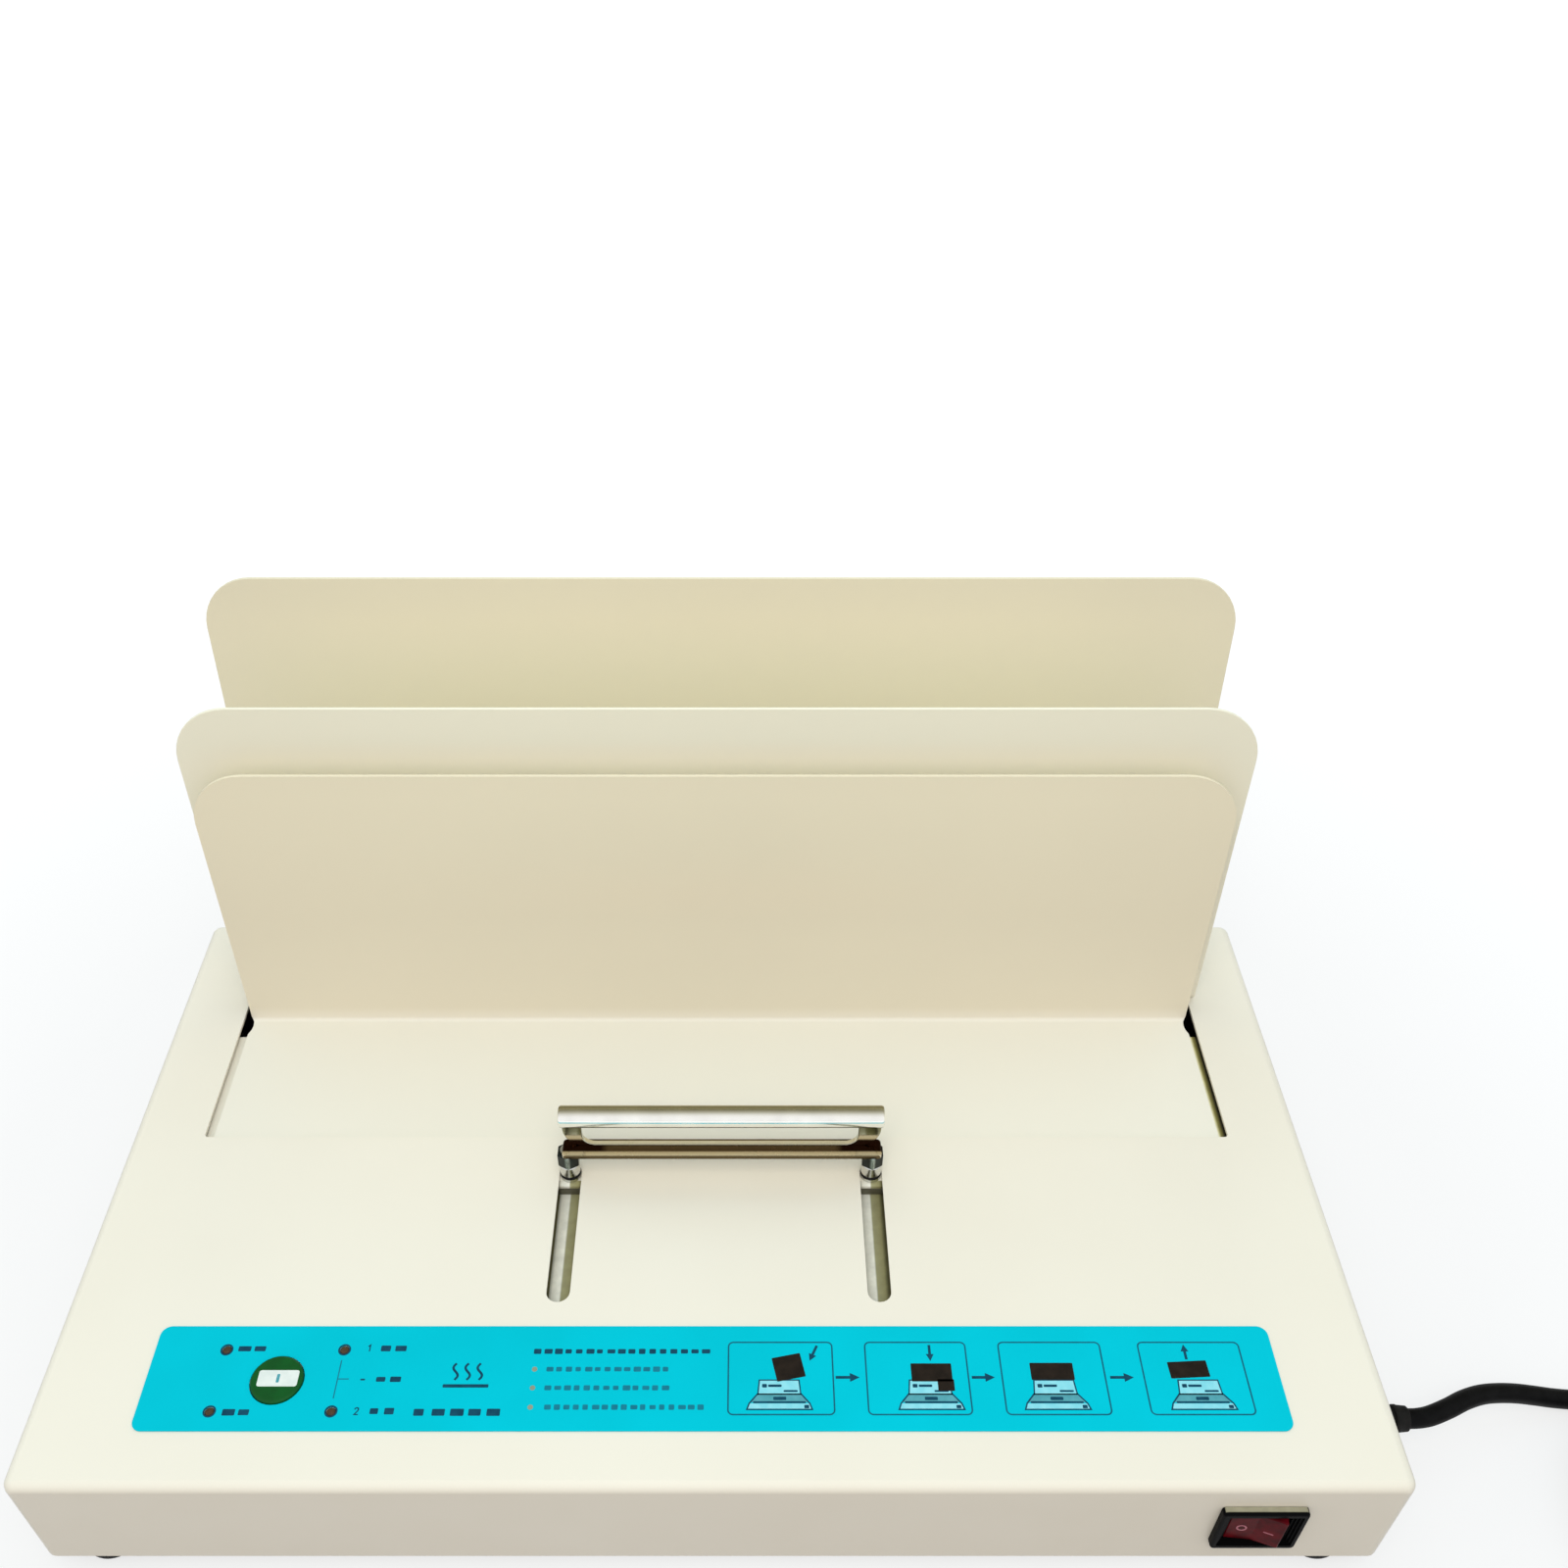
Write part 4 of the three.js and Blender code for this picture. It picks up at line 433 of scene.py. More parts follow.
navy_ink, line_ink, soft_ink, dark_ink, white_ink, pale_ink, grey_ink, orange_ink, rocker_ink = (
    finish(name, colour, (drift, 300), Roughness=0.4, Specular_IOR_Level=0.15) for name, colour, drift in (
        ("navy ink", (6, 62, 86), (14, 74, 98)), ("fine navy ink", (8, 88, 110), (12, 98, 120)),
        ("thin navy ink", (10, 112, 134), (14, 122, 144)), ("brown black ink", (28, 22, 18), (38, 30, 24)),
        ("white ink", (224, 230, 226), (214, 222, 218)), ("pale blue ink", (140, 214, 226), (124, 206, 220)),
        ("grey blue ink", (74, 150, 162), (86, 160, 172)), ("orange ink", (142, 150, 128), (128, 142, 124)),
        ("pink rocker ink", (190, 120, 132), (168, 92, 108))))

bezel_black = (8, 8, 9)
(_, bezel_front, _), (_, _, bezel_top) = box_mm("switch_housing")
# The bezel's top face is painted light olive, as painted light from above; its front stays black.
bezel_plastic_painted_light = finish("black plastic with a painted light top", bezel_black, Roughness=0.45,
                       Specular_IOR_Level=0.03)
painted_top_light = ramp(bezel_plastic_painted_light, "Z", bezel_top - 0.6, bezel_top, (0.0, *bezel_black), (0.35, 9, 9, 9),
                 (0.6, 146, 142, 120), (1.0, 154, 150, 128))
behind_edge = between(bezel_plastic_painted_light, coordinate(bezel_plastic_painted_light, "Y"), (bezel_front + 0.9) * MM,
                      (bezel_front + 1.3) * MM)
feed(bezel_plastic_painted_light, blend(bezel_plastic_painted_light, behind_edge, linear(bezel_black), painted_top_light))


# %% [markdown]
# ## Finishes inside the housing
# These show only through the slot, the vents or with the clamp open, but each is still its own stuff:
# a green circuit board, yellow tape on the transformer, mica round the heating foil, pressed fibre
# under it, and nylon. With them every slot has its finish, and the CAD nodes are repainted.

# %% Inner finishes
finish_of_slot |= dict(
    board_laminate=finish("green circuit board", (28, 92, 52), ((20, 72, 42), 400, EVEN, (0.45, 0.5)),
                          Roughness=0.35),
    winding_tape=finish("yellow winding tape", (216, 168, 72), ((200, 150, 60), 160, (1, 1, 6)),
                        Roughness=0.5),
    element_mica=finish("brown mica", (186, 150, 104), ((160, 122, 82), 220, EVEN, (0.4, 0.6)),
                        Roughness=0.35),
    insulation_fibre=finish("pressed fibre", (222, 216, 200), ((204, 196, 178), 700, (1, 0.3, 1)),
                            bump=(1800, 0.05, (1, 0.3, 1)), Roughness=0.95),
    white_nylon=finish("natural nylon", (226, 223, 210), ((216, 212, 196), 120), Roughness=0.5,
                       Subsurface_Weight=0.1))
for node, cad_object in nodes.items():
    for place in cad_object.material_slots:
        place.material = finish_of_slot[slot_of_node[node]]
print(f"{len(finish_of_slot)} slots repainted on {len(nodes)} CAD nodes")


# %% [markdown]
# ## The mains cord
# The cord leaves the right wall through its strain relief, droops to the table and runs off to the
# right. The rest lies in a neat coil just outside the picture: three turns inwards on the table, a climb
# in the half turn where the spiral turns back, and three turns outwards on top. The route repeats the
# CAD solids' points, in millimetres behind the front wall.

# %% Cord route
cord_diameter = 7.0
wall_x = right_wall + 0.3
relief_y, relief_z, relief_length = 44.0, 19.8, 20.0
cord_points = np.array([
    [241.8, 44, 19.8], [245.2, 44.1, 19.8], [249.7, 44.9, 19.8], [257.4, 47.9, 19.7], [264.9, 51.7, 18.8],
    [272.4, 54.7, 17.1], [280.1, 56.7, 14.7], [287.9, 58, 12.1], [295.7, 58.7, 9.4], [303.6, 59.1, 6.9],
    [311.7, 59.5, 5.1], [319.9, 60.2, 4], [328.1, 60.9, 3.6], [336.4, 61.5, 3.5], [344.7, 61.7, 3.5],
])
plug_points = np.array([
    [359.3, 61.7, 10.95], [368, 62.3, 10.7], [378, 65.6, 9.8], [387, 71.8, 9.1], [393.6, 80.4, 9],
    [397, 90.5, 9.3], [398, 103.7, 9.7],
])


def smooth_route(points, steps=8):
    """A centripetal Catmull-Rom curve: between two points a cubic whose slopes follow the neighbours,
    each span weighted by the square root of its length."""
    padded = np.vstack([2 * points[0] - points[1], points, 2 * points[-1] - points[-2]])
    p0, p1, p2, p3 = (padded[k:len(padded) - 3 + k, None, :] for k in range(4))
    gap = [np.sqrt(np.linalg.norm(b - a, axis=-1, keepdims=True)) for a, b in ((p0, p1), (p1, p2), (p2, p3))]
    slope1 = ((p1 - p0) / gap[0] - (p2 - p0) / (gap[0] + gap[1]) + (p2 - p1) / gap[1]) * gap[1]
    slope2 = ((p2 - p1) / gap[1] - (p3 - p1) / (gap[1] + gap[2]) + (p3 - p2) / gap[2]) * gap[1]
    t = np.linspace(0, 1, steps, endpoint=False)[None, :, None]
    curve = (p1 + slope1 * t + (3 * (p2 - p1) - 2 * slope1 - slope2) * t ** 2
             + (2 * (p1 - p2) + slope1 + slope2) * t ** 3)
    return np.vstack([curve.reshape(-1, 3), points[-1]])


def coil_route(centre_x, centre_y, outer, turns, pitch):
    """The radius shrinks by one pitch a turn to the middle and grows again; the height climbs one
    pitch, smoothly, during the half turn in which the spiral turns back."""
    turn = np.linspace(0, turns, turns * 48 + 1)
    half = turns / 2
    radius = outer - pitch * (half - np.abs(turn - half))
    climb = np.clip((turn - half + 0.25) / 0.5, 0, 1)
    angle = np.pi / 2 - 2 * np.pi * turn
    return np.stack([centre_x + radius * np.cos(angle), centre_y + radius * np.sin(angle),
                     cord_diameter / 2 + pitch * climb ** 2 * (3 - 2 * climb)], -1)


coil = coil_route(352.0, 8.5, outer=53.2, turns=6, pitch=7.45)
relief_tip = [wall_x + relief_length, relief_y, relief_z]
cord_line = np.vstack([[relief_tip], smooth_route(cord_points), coil, smooth_route(plug_points)])
cord_line[:, 1] += front_wall


# %% [markdown]
# ## Tubes along a path
# A cord is a circle carried along its route. The circle has to stay square to the path without
# twisting, so each section's frame is made from the path's direction and the upright: one axis lies
# level and square to the direction, and the other completes the set.

# %% Tube surface
def tube(name, line, radius):
    """point(i) + radius * (cos(angle) * level(i) + sin(angle) * upright(i)); level is square to the
    path and to the vertical, upright is square to both."""
    ahead = np.gradient(line, axis=0)
    ahead /= np.linalg.norm(ahead, axis=1, keepdims=True)
    level = np.cross(ahead, [0, 0, 1.0])
    level /= np.linalg.norm(level, axis=1, keepdims=True)
    upright = np.cross(level, ahead)
    c, s = circle(20).T[..., None]
    return surface(name, [line[:, None] + radius * (c * level[:, None] + s * upright[:, None])])


mains_cord = tube("mains_cord", cord_line, cord_diameter / 2)
print(f"mains_cord: {len(mains_cord.data.polygons)} faces")


# %% [markdown]
# ## The strain relief
# Where the cord leaves the wall it is held by a tapered rubber sleeve, cut by grooves so that it bends
# with the cord. It is one turned profile of radius and distance: a nut inside the wall, a collar
# against it, four ribs that shrink evenly, and a thin lip.

# %% Strain relief
widest, narrowest, groove = 6.4, 4.4, 0.9
relief_profile = [(0, -4.8), (7.2, -4.8), (7.4, -4.6), (7.4, -1.9), (5.4, -1.8), (5.4, 0), (7.1, 0),
                  (7.3, 0.25), (7.3, 1.35), (7.1, 1.6), (6.0, 1.7)]
for start in 3.2 + 3.4 * np.arange(4):
    crest = widest - (widest - narrowest) * (start + 1.6) / relief_length
    relief_profile += [(crest - groove, start), (crest - groove, start + 1.4), (crest - 0.2, start + 1.6),
                       (crest, start + 1.9), (crest, start + 2.9), (crest - 0.2, start + 3.2)]
relief_profile += [(4.5, 18.6), (4.4, 19.8), (4.2, 20), (3.4, 20), (3.4, 19.2), (0, 19.2)]
strain_relief = turned("cord_strain_relief", relief_profile, (wall_x, front_wall + relief_y, relief_z),
                       axis="x", sides=40)


# %% [markdown]
# ## The plug
# The plug is a soft block that grows out of a round neck. It is lofted: every section is a
# superellipse, round at the neck and nearly square at the face, and the thumb grips are shallow dips
# in its width. The three flat pins are rounded bars, set on a slant as on the real one.

# %% Plug body
plug_place = np.array([398.0, front_wall + 104.0, 9.7])


def plug_grid():
    """Sections along +Y: half-width a, half-height b and exponent n change smoothly from a round neck
    to a squarish body; a point is (a*sign(cos)*|cos|^(2/n), b*sign(sin)*|sin|^(2/n))."""
    along = [0, 2, 5, 9, 12, 14, 16, 19, 23, 26, 29, 32, 36, 40, 44, 47, 49, 50.0]
    half_width = [3.6, 4.5, 5.0, 5.6, 6.6, 8.2, 10.6, 12.9, 14.0, 13.2, 12.9, 13.2, 14.1, 14.5, 14.5, 14.3,
                  13.4, 12.2]
    half_height = [3.6, 4.5, 4.9, 5.3, 6.0, 7.0, 8.2, 9.1, 9.4, 9.3, 9.3, 9.3, 9.5, 9.5, 9.5, 9.3, 8.6, 7.6]
    power = [2, 2, 2, 2, 2.1, 2.3, 2.6, 3, 3.3, 3.4, 3.5, 3.5, 3.6, 3.6, 3.6, 3.6, 3.6, 3.6]
    y, a, b, n = np.array([along, half_width, half_height, power])[..., None]
    c, s = circle(72).T
    return np.stack([a * np.sign(c) * np.abs(c) ** (2 / n), np.repeat(y, len(c), 1),
                     b * np.sign(s) * np.abs(s) ** (2 / n)], -1)


plug_body = surface("plug_body", [plug_grid() + plug_place])
smooth_plug = plug_body.modifiers.new("soft moulding", "SUBSURF")
smooth_plug.levels = smooth_plug.render_levels = 1


# %% Plug pins
def spun(points, degrees):
    """Points of a plane, turned about its origin."""
    c, d = math.cos(math.radians(degrees)), math.sin(math.radians(degrees))
    return points @ np.array([[c, d], [-d, c]])


def rounded_bar(half_x, half_y, half_z, corner):
    """A bar along Y whose section is a rectangle with rounded corners and whose tip is drawn in."""
    along = np.array([-half_y, half_y - 1.2, half_y - 0.4, half_y])[:, None]
    size = 1 - 0.35 * np.array([0, 0, 0.25, 0.7])[:, None, None]
    bend = circle(24)
    section = np.sign(bend + 1e-9) * (np.array([half_x, half_z]) - corner) + corner * bend
    return np.insert(size * section, 1, along, axis=2)


pins = []
for offset_x, offset_z, slant in ((-7, -2.2, 30), (7, -2.2, -30), (0, 5, 0)):
    bar = rounded_bar(0.8, 9.6, 3.1, corner=0.3)
    bar[..., ::2] = spun(bar[..., ::2], -slant)
    pins.append(bar + plug_place + (offset_x, 58.4, offset_z))
plug_pins = surface("plug_pins", pins)
pin_metal = finish("nickel plated brass", (206, 200, 184), gloss=(0.2, 0.34, 500, (1, 0.1, 1)), Metallic=1.0)

stands_for(mains_cord, "power_cord", "cord_coil", "plug_lead")
stands_for(strain_relief, "strain_relief")
stands_for(plug_body, "power_plug")
plug_pins.data.materials.append(pin_metal)
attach(plug_pins, "housing")


# %% [markdown]
# ## The floor
# The photograph was cut out on white. The floor is a large sheet that keeps the machine's soft shadow.
# Where the camera or a shiny surface looks at it, it also glows, and more so further off, so that the
# background turns to plain white. Its own colour is a pale grey, because the real table throws less
# light up at the front wall than a white one would.

# %% Floor
reach, depth, floor_grey = 9000, -0.4, 134.41
floor = finished_mesh("floor", [(-reach, -reach, depth), (reach, -reach, depth), (reach, reach, depth),
                                (-reach, reach, depth)], [(0, 1, 2, 3)])
paper = finish("pale floor", (floor_grey,) * 3, Roughness=0.9, Specular_IOR_Level=0.0)
place = add_node(paper, "TexCoord").outputs["Object"]
distance = add_node(paper, "VectorMath", {"operation": "LENGTH"}, i0=place).outputs["Value"]
glow = wire(paper, "Emission", Color=(1, 1, 1, 1), Strength=between(paper, distance, 0.3, 1.1, 0.68, 1.0))


def seen_by(owner, *kinds):
    """1 for rays of any of the kinds."""
    rays = add_node(owner, "LightPath").outputs
    share = rays[f"Is {kinds[0]} Ray"]
    for kind in kinds[1:]:
        share = maths(owner, "MAXIMUM", rays[f"Is {kind} Ray"], share)
    return share


bright = wire(paper, "AddShader", i0=shader_of(paper).outputs[0], i1=glow)
paper_look = wire(paper, "MixShader", i0=seen_by(paper, "Glossy", "Transmission", "Camera"),
                  i1=shader_of(paper).outputs[0], i2=bright)
paper.node_tree.links.new(paper_look, paper.node_tree.nodes["Material Output"].inputs["Surface"])
floor.data.materials.append(paper)


# %% [markdown]
# ## The light
# The photograph was lit very evenly, so the world does most of the work, in three parts: an even,
# faintly warm light, a little more warmth from the front, and a cooler light from above, because what
# faces up is nearly neutral in the picture and what faces the camera is yellower. One soft box above
# the front gives the soft shadows, and a weaker one fills the back. Shiny surfaces see neither, but a
# white world in front, which turns to a dim olive grey behind the machine, like a studio's ceiling:
# without something dark to reflect, chrome looks like white plastic. The camera sees plain white.

# %% World
world = bpy.data.worlds.new("studio")
bpy.context.scene.world = world
world.use_nodes = True
direction = add_node(world, "SeparateXYZ", i0=add_node(world, "TexCoord").outputs["Generated"]).outputs


def sky_part(axis, far, colour, base):
    """base + colour * share, where the share grows evenly from 0 at the horizon to 1 at `far`."""
    share = between(world, direction[axis], 0.0, far)
    return maths(world, "MULTIPLY_ADD", share, colour, base, kind="VectorMath")


even, from_front, from_above = (0.63, 0.6, 0.54), (0.17, 0.02, 0.0), (0.17, 0.376, 0.528)
sky_light = wire(world, "Background",
                 Color=sky_part("Z", 1.0, from_above, sky_part("Y", -1.0, from_front, even)))
white_wall = wire(world, "Background", Color=(1, 1, 1, 1))
ceiling = wire(world, "Background", Color=(0.3, 0.29, 0.2, 1))
mirrored = wire(world, "MixShader", i0=between(world, direction["Y"], -0.6, 0.7), i1=white_wall, i2=ceiling)
for_shine = wire(world, "MixShader", i0=seen_by(world, "Transmission", "Glossy"), i1=sky_light, i2=mirrored)
for_camera = wire(world, "MixShader", i0=seen_by(world, "Camera"), i1=for_shine, i2=white_wall)
world.node_tree.links.new(for_camera, world.node_tree.nodes["World Output"].inputs["Surface"])


# %% Soft boxes
def soft_box(name, place, size, power, colour):
    """A square soft box at `place`, in metres, that faces the middle of the machine."""
    light = bpy.data.lights.new(name, "AREA")
    light.shape = "SQUARE"
    light.size = size
    light.energy = power
    light.color = colour
    lamp = linked(name, light)
    away = np.array(place) - (0, 0, 0.1)
    tilt, heading = math.acos(away[2] / np.linalg.norm(away)), math.atan2(away[1], away[0])
    lamp.location = place
    lamp.visible_glossy = False
    lamp.rotation_euler = (tilt, 0, heading + math.pi / 2)


soft_box("front soft box", (0, -0.55, 1.0), 0.5, 4.63, (1.0, 0.97, 0.88))
soft_box("back fill", (0, 1.1, 0.5), 0.6, 3.2, (1.0, 0.98, 0.96))
bpy.context.scene.view_settings.view_transform = "Standard"


# %% [markdown]
# ## The pull
# The pull is one chromed casting in three forms: a round bar to hold, an upright web with a window
# for the fingers, and a flat base on the two studs. The bar is turned. The web is a ring between two
# outlines with as many points, its rim and its window, so that a grid of four rows closes it. The base
# is an outline raised, with its edges drawn in.

# %% Outlines
def rounded_outline(x0, y0, x1, y1, radius, steps=6):
    """Counter-clockwise from the right top corner: corner centre + radius * (cos, sin), a quarter turn each.
    `radius` is one number, or four, for the corners right top, left top, left bottom, right bottom."""
    radii = np.broadcast_to(radius, 4).astype(float)
    corner_x = np.array([x1 - radii[0], x0 + radii[1], x0 + radii[2], x1 - radii[3]])
    corner_y = np.array([y1 - radii[0], y1 - radii[1], y0 + radii[2], y0 + radii[3]])
    angle = np.arange(4)[:, None] * np.pi / 2 + np.linspace(0, np.pi / 2, steps)
    return np.stack([corner_x[:, None] + radii[:, None] * np.cos(angle),
                     corner_y[:, None] + radii[:, None] * np.sin(angle)], -1).reshape(-1, 2)


def layers(*rows, axis=2):
    """A grid of flat outlines, each at its own place along the axis that they lack."""
    return np.stack([np.insert(outline, axis, height, axis=1) for outline, height in rows])


# %% Bar, web and base
pull_left, pull_right = -55.4, 60.4
bar_z, bar_radius, base_z, base_top = 88.9, 4, 69.9, 71.4
pull_length = pull_right - pull_left
bar_profile = [(0, 0), (3.2, 0), (3.75, 0.25), (bar_radius, 0.8)]
bar_profile += [(radius, pull_length - x) for radius, x in bar_profile[::-1]]
handle_bar = turned("handle_bar", bar_profile, (pull_left, stud_y, bar_z), axis="x")

rim = rounded_outline(pull_left + 0.4, base_top - 0.6, pull_right - 0.4, bar_z, (0.2, 0.2, 9, 9), 8)
window = rounded_outline(-48.1, base_top + 0.4, 51.9, 85.4, 5, 8)
web_front, web_back = stud_y + 1, stud_y + 3
handle_web = surface("handle_web", rings=[layers((rim, web_front), (rim, web_back), (window, web_back),
                                                 (window, web_front), axis=1)])
soften(handle_web, 0.35)


def base_outline(inset):
    half = 4.2 - inset
    return rounded_outline(pull_left + inset, stud_y - half, pull_right - inset, stud_y + half, 1.5 - inset)


handle_base = surface("handle_base", [layers(
    (base_outline(0.25), base_z), (base_outline(0), base_z + 0.25), (base_outline(0), base_top - 0.3),
    (base_outline(0.3), base_top))])
print(f"the pull is {pull_length:.1f} mm long and stands {bar_z + bar_radius - top_z:.1f} mm above the cover")


# %% [markdown]
# ## Painted reflections and shade on the pull
# The chrome's reflections and shade are painted into its colour: the bar's back and underside are
# olive, the web is dark at its foot, light just above and darker up its legs, and a brown band of
# painted shade runs along the base in front of the web, darkest towards both ends, with a thin dark
# line on the base's front edge. Each is a ramp on one Object coordinate.

# %% Chrome with painted reflections and shade
def chrome_painted_reflections(name, axis, first, last, *stops, gloss=(0.09, 0.17, 120)):
    chrome = finish(name, (240, 238, 230), gloss=gloss, Metallic=1.0)
    return chrome, ramp(chrome, axis, first, last, *stops, drift=(0.94, 1.0), scale=120)


# Painted reflection and shade: the bar's underside and its back are olive.
bar_chrome, underside_painted_shade = chrome_painted_reflections(
    "chrome with painted reflection and shade", "Z", bar_z - 2.7, bar_z - 0.3,
    (0.0, 56, 54, 38), (0.3, 88, 86, 64), (0.62, 255, 255, 255), (1.0, 255, 255, 255),
    gloss=(0.13, 0.22, 120))
back_painted_reflection = ramp(
    bar_chrome, "Y", stud_y - 3.0, stud_y + 3.1,
    (0.0, 250, 249, 244), (0.17, 240, 238, 228), (0.3, 214, 210, 192), (0.44, 192, 187, 162),
    (0.58, 144, 141, 112), (0.72, 140, 137, 108), (1.0, 200, 196, 172), drift=(0.96, 1.0), scale=120)
feed(bar_chrome, maths(bar_chrome, "MULTIPLY", underside_painted_shade, back_painted_reflection, kind="VectorMath"))
# Painted shade at the web's foot, a painted highlight just above it, and painted reflection darkening up its
# legs.
web_chrome, _ = chrome_painted_reflections(
    "chrome web with painted shade and reflection", "Z", base_top - 0.6, base_top + 13.4,
    (0.0, 62, 44, 26), (0.045, 84, 68, 46), (0.064, 222, 217, 198), (0.36, 206, 203, 184),
    (0.62, 146, 144, 118), (1.0, 98, 97, 72))
# Painted shade: a brown band on the base in front of the web, darkest at both ends, and a dark line on its
# front edge.
base_chrome, base_painted_shade = chrome_painted_reflections(
    "chrome base with a painted shade band", "Y", stud_y - 4.2, stud_y + 1.2,
    (0.0, 96, 82, 56), (0.07, 104, 90, 64), (0.1, 246, 234, 208), (0.38, 220, 204, 172),
    (0.5, 86, 68, 46), (1.0, 96, 80, 56), gloss=(0.14, 0.3, 120))
in_shaded_band = between(base_chrome, coordinate(base_chrome, "Y"), (stud_y - 1.9) * MM, (stud_y - 1.2) * MM)
pull_middle = (pull_left + pull_right) / 2
from_middle = maths(base_chrome, "SUBTRACT", coordinate(base_chrome, "X"), pull_middle * MM)
near_end = between(base_chrome, maths(base_chrome, "ABSOLUTE", from_middle), 41 * MM, 44 * MM)
painted_end_shade = maths(base_chrome, "MULTIPLY", in_shaded_band, near_end)
feed(base_chrome, blend(base_chrome, painted_end_shade, base_painted_shade, linear((34, 16, 8))))

stands_for(handle_bar, "pull_handle", coat=bar_chrome)
joins(handle_web, "pull_handle", web_chrome)
joins(handle_base, "pull_handle", base_chrome)


# %% [markdown]
# ## Studs, nuts, sleeves and rings
# Under each end of the pull a stud runs through a hexagon nut and a steel sleeve, which slides in the
# slot with a black ring in its groove. All but the nut are turned, and the sleeve and the ring are
# closed outlines that never touch the axis, so their last row joins the first. The nut is one hexagon
# at four heights, drawn in at both ends, and a painted highlight runs down its blackened front corner.

# %% Studs, nuts, sleeves and rings
stud_profile = [(0, 50.4), (3.8, 50.4), (4, 50.6), (4, 51.5), (3.8, 51.7), (2.4, 51.7), (2.4, 70.2),
                (2.8, 70.6), (0, 70.6)]
sleeve_profile = [(2.7, 55.5), (2.9, 55.3), (3.55, 55.3), (3.75, 55.5), (3.75, 56.9), (3.05, 57.0),
                  (3.05, 58.4), (3.75, 58.5), (3.75, 63.0), (3.45, 63.3), (2.9, 63.3), (2.7, 63.1)]
ring_profile = circle(16) * (0.36, 0.56) + (3.55, 57.7)
nut_profile = [(4.0, 63.35), (4.35, 63.8), (4.35, 69.4), (4.0, 69.85)]
# A painted highlight runs down the front corner of each nut.
nut_painted_highlight = finish("blackened steel with a painted highlight", (36, 42, 42), Metallic=0.8, Roughness=0.25)
ramp(nut_painted_highlight, "X", slot_x[0] - 3.8, slot_x[0] + 3.8,
     (0.0, 30, 36, 34), (0.34, 22, 30, 28), (0.44, 120, 134, 128), (0.54, 150, 160, 154),
     (0.64, 34, 42, 40), (1.0, 16, 18, 16), period=slot_spacing, drift=(0.6, 1.3), scale=700)

for side, x in zip(("left", "right"), slot_x):
    hexagons = [(circle(6, -np.pi / 2) * corner + (x, stud_y), height) for corner, height in nut_profile]
    nut = surface(f"hexagon_nut_{side}", [layers(*hexagons)], sharp=20)
    soften(nut, 0.15)
    stands_for(nut, f"post_nut_{side}", coat=nut_painted_highlight)
    place = (x, stud_y, 0)
    stands_for(turned(f"handle_stud_{side}", stud_profile, place), f"handle_post_{side}")
    sleeve = turned(f"slide_sleeve_{side}", sleeve_profile, place, ring=True)
    stands_for(sleeve, f"post_sleeve_{side}", coat=sleeve_steel)
    ring = turned(f"rubber_ring_{side}", ring_profile, place, ring=True, sharp=60)
    stands_for(ring, f"post_ring_{side}")


# %% [markdown]
# ## Lamps, start button and feet
# These are turned too. Each lamp is a small domed lens on its spacer, the button is a cap with a
# rounded rim over a wider flange that keeps it in, and each foot has a chamfered tread, a neck and a
# barb that holds it in the tray.

# %% Lamps, start button and feet
def turned_at(prefix, new_prefix, profile, sides=48):
    """A turned piece in the place of every node whose name starts with the prefix."""
    for node in nodes:
        if node.startswith(prefix):
            x, y, _ = box_mm(node).sum(0) / 2
            stands_for(turned(node.replace(prefix, new_prefix), profile, (x, y, 0), sides=sides), node)


lamp_profile = [(0, 47.9), (1.9, 47.9), (1.9, 51.9), (1.5, 51.9), (1.5, 56.5), (1.4, 56.9), (1.1, 57.2),
                (0.6, 57.36), (0, 57.4)]
button_profile = [(0, 53.8), (10.4, 53.8), (10.4, 55.0), (8.6, 55.0), (8.6, 57.2), (8.5, 57.5), (8.2, 57.75),
                  (7.7, 57.88), (7.2, 57.9), (0, 57.9)]
foot_profile = [(0, 0), (8.7, 0), (9.3, 0.15), (9.8, 0.6), (10, 1.2), (10, 9.2), (9.85, 9.55), (9.5, 9.7),
                (3.2, 9.7), (3.2, 11.5), (4.1, 11.5), (4.2, 11.8), (3.2, 14.1), (0, 14.1)]
turned_at("lamp_", "lens_", lamp_profile, sides=32)
button_top = button_profile[-1][1]
button_cap = turned("button_cap", button_profile, (-142.7, front_wall + 37.3, 0), sides=64)
stands_for(button_cap, "start_button")
turned_at("foot_", "rubber_foot_", foot_profile)
print("4 lamps, 1 button and 4 feet turned")


# %% [markdown]
# ## Printing the label
# A print could be an image, but shapes stay sharp at any size. So every mark is a slab a few
# hundredths of a millimetre thick, lying on the film: lines have an even width, and closed outlines
# become flat rings. The four boxes show how the machine is used, with arrows for what the operator
# does. Writing is only hinted at with dashes, and the maker's place holds the common sign for heat.
# Places are millimetres from the machine's middle and from its front wall.

# %% Drawing helpers
label_top = box_mm("control_label")[1][2]
ink_sunk, ink_height, overprint = 0.04, 0.07, 0.02


def line_edges(points, width, closed=False):
    """Both edges of an even line. Each corner moves along the sum m of its two sides' normals, by
    m * width / |m|^2, which is half the width over the cosine of half the bend."""
    line = np.array(points, float)
    step = np.roll(line, -1, 0) - line if closed else np.diff(line, axis=0)
    before = np.roll(step, 1, 0) if closed else np.vstack([step[:1], step])
    after = step if closed else np.vstack([step, step[-1:]])
    normal_sum = sum(np.stack([-way[:, 1], way[:, 0]], -1) / np.linalg.norm(way, axis=1, keepdims=True)
                     for way in (before, after))
    shift = normal_sum * width / (normal_sum ** 2).sum(1, keepdims=True)
    return line + shift, line - shift


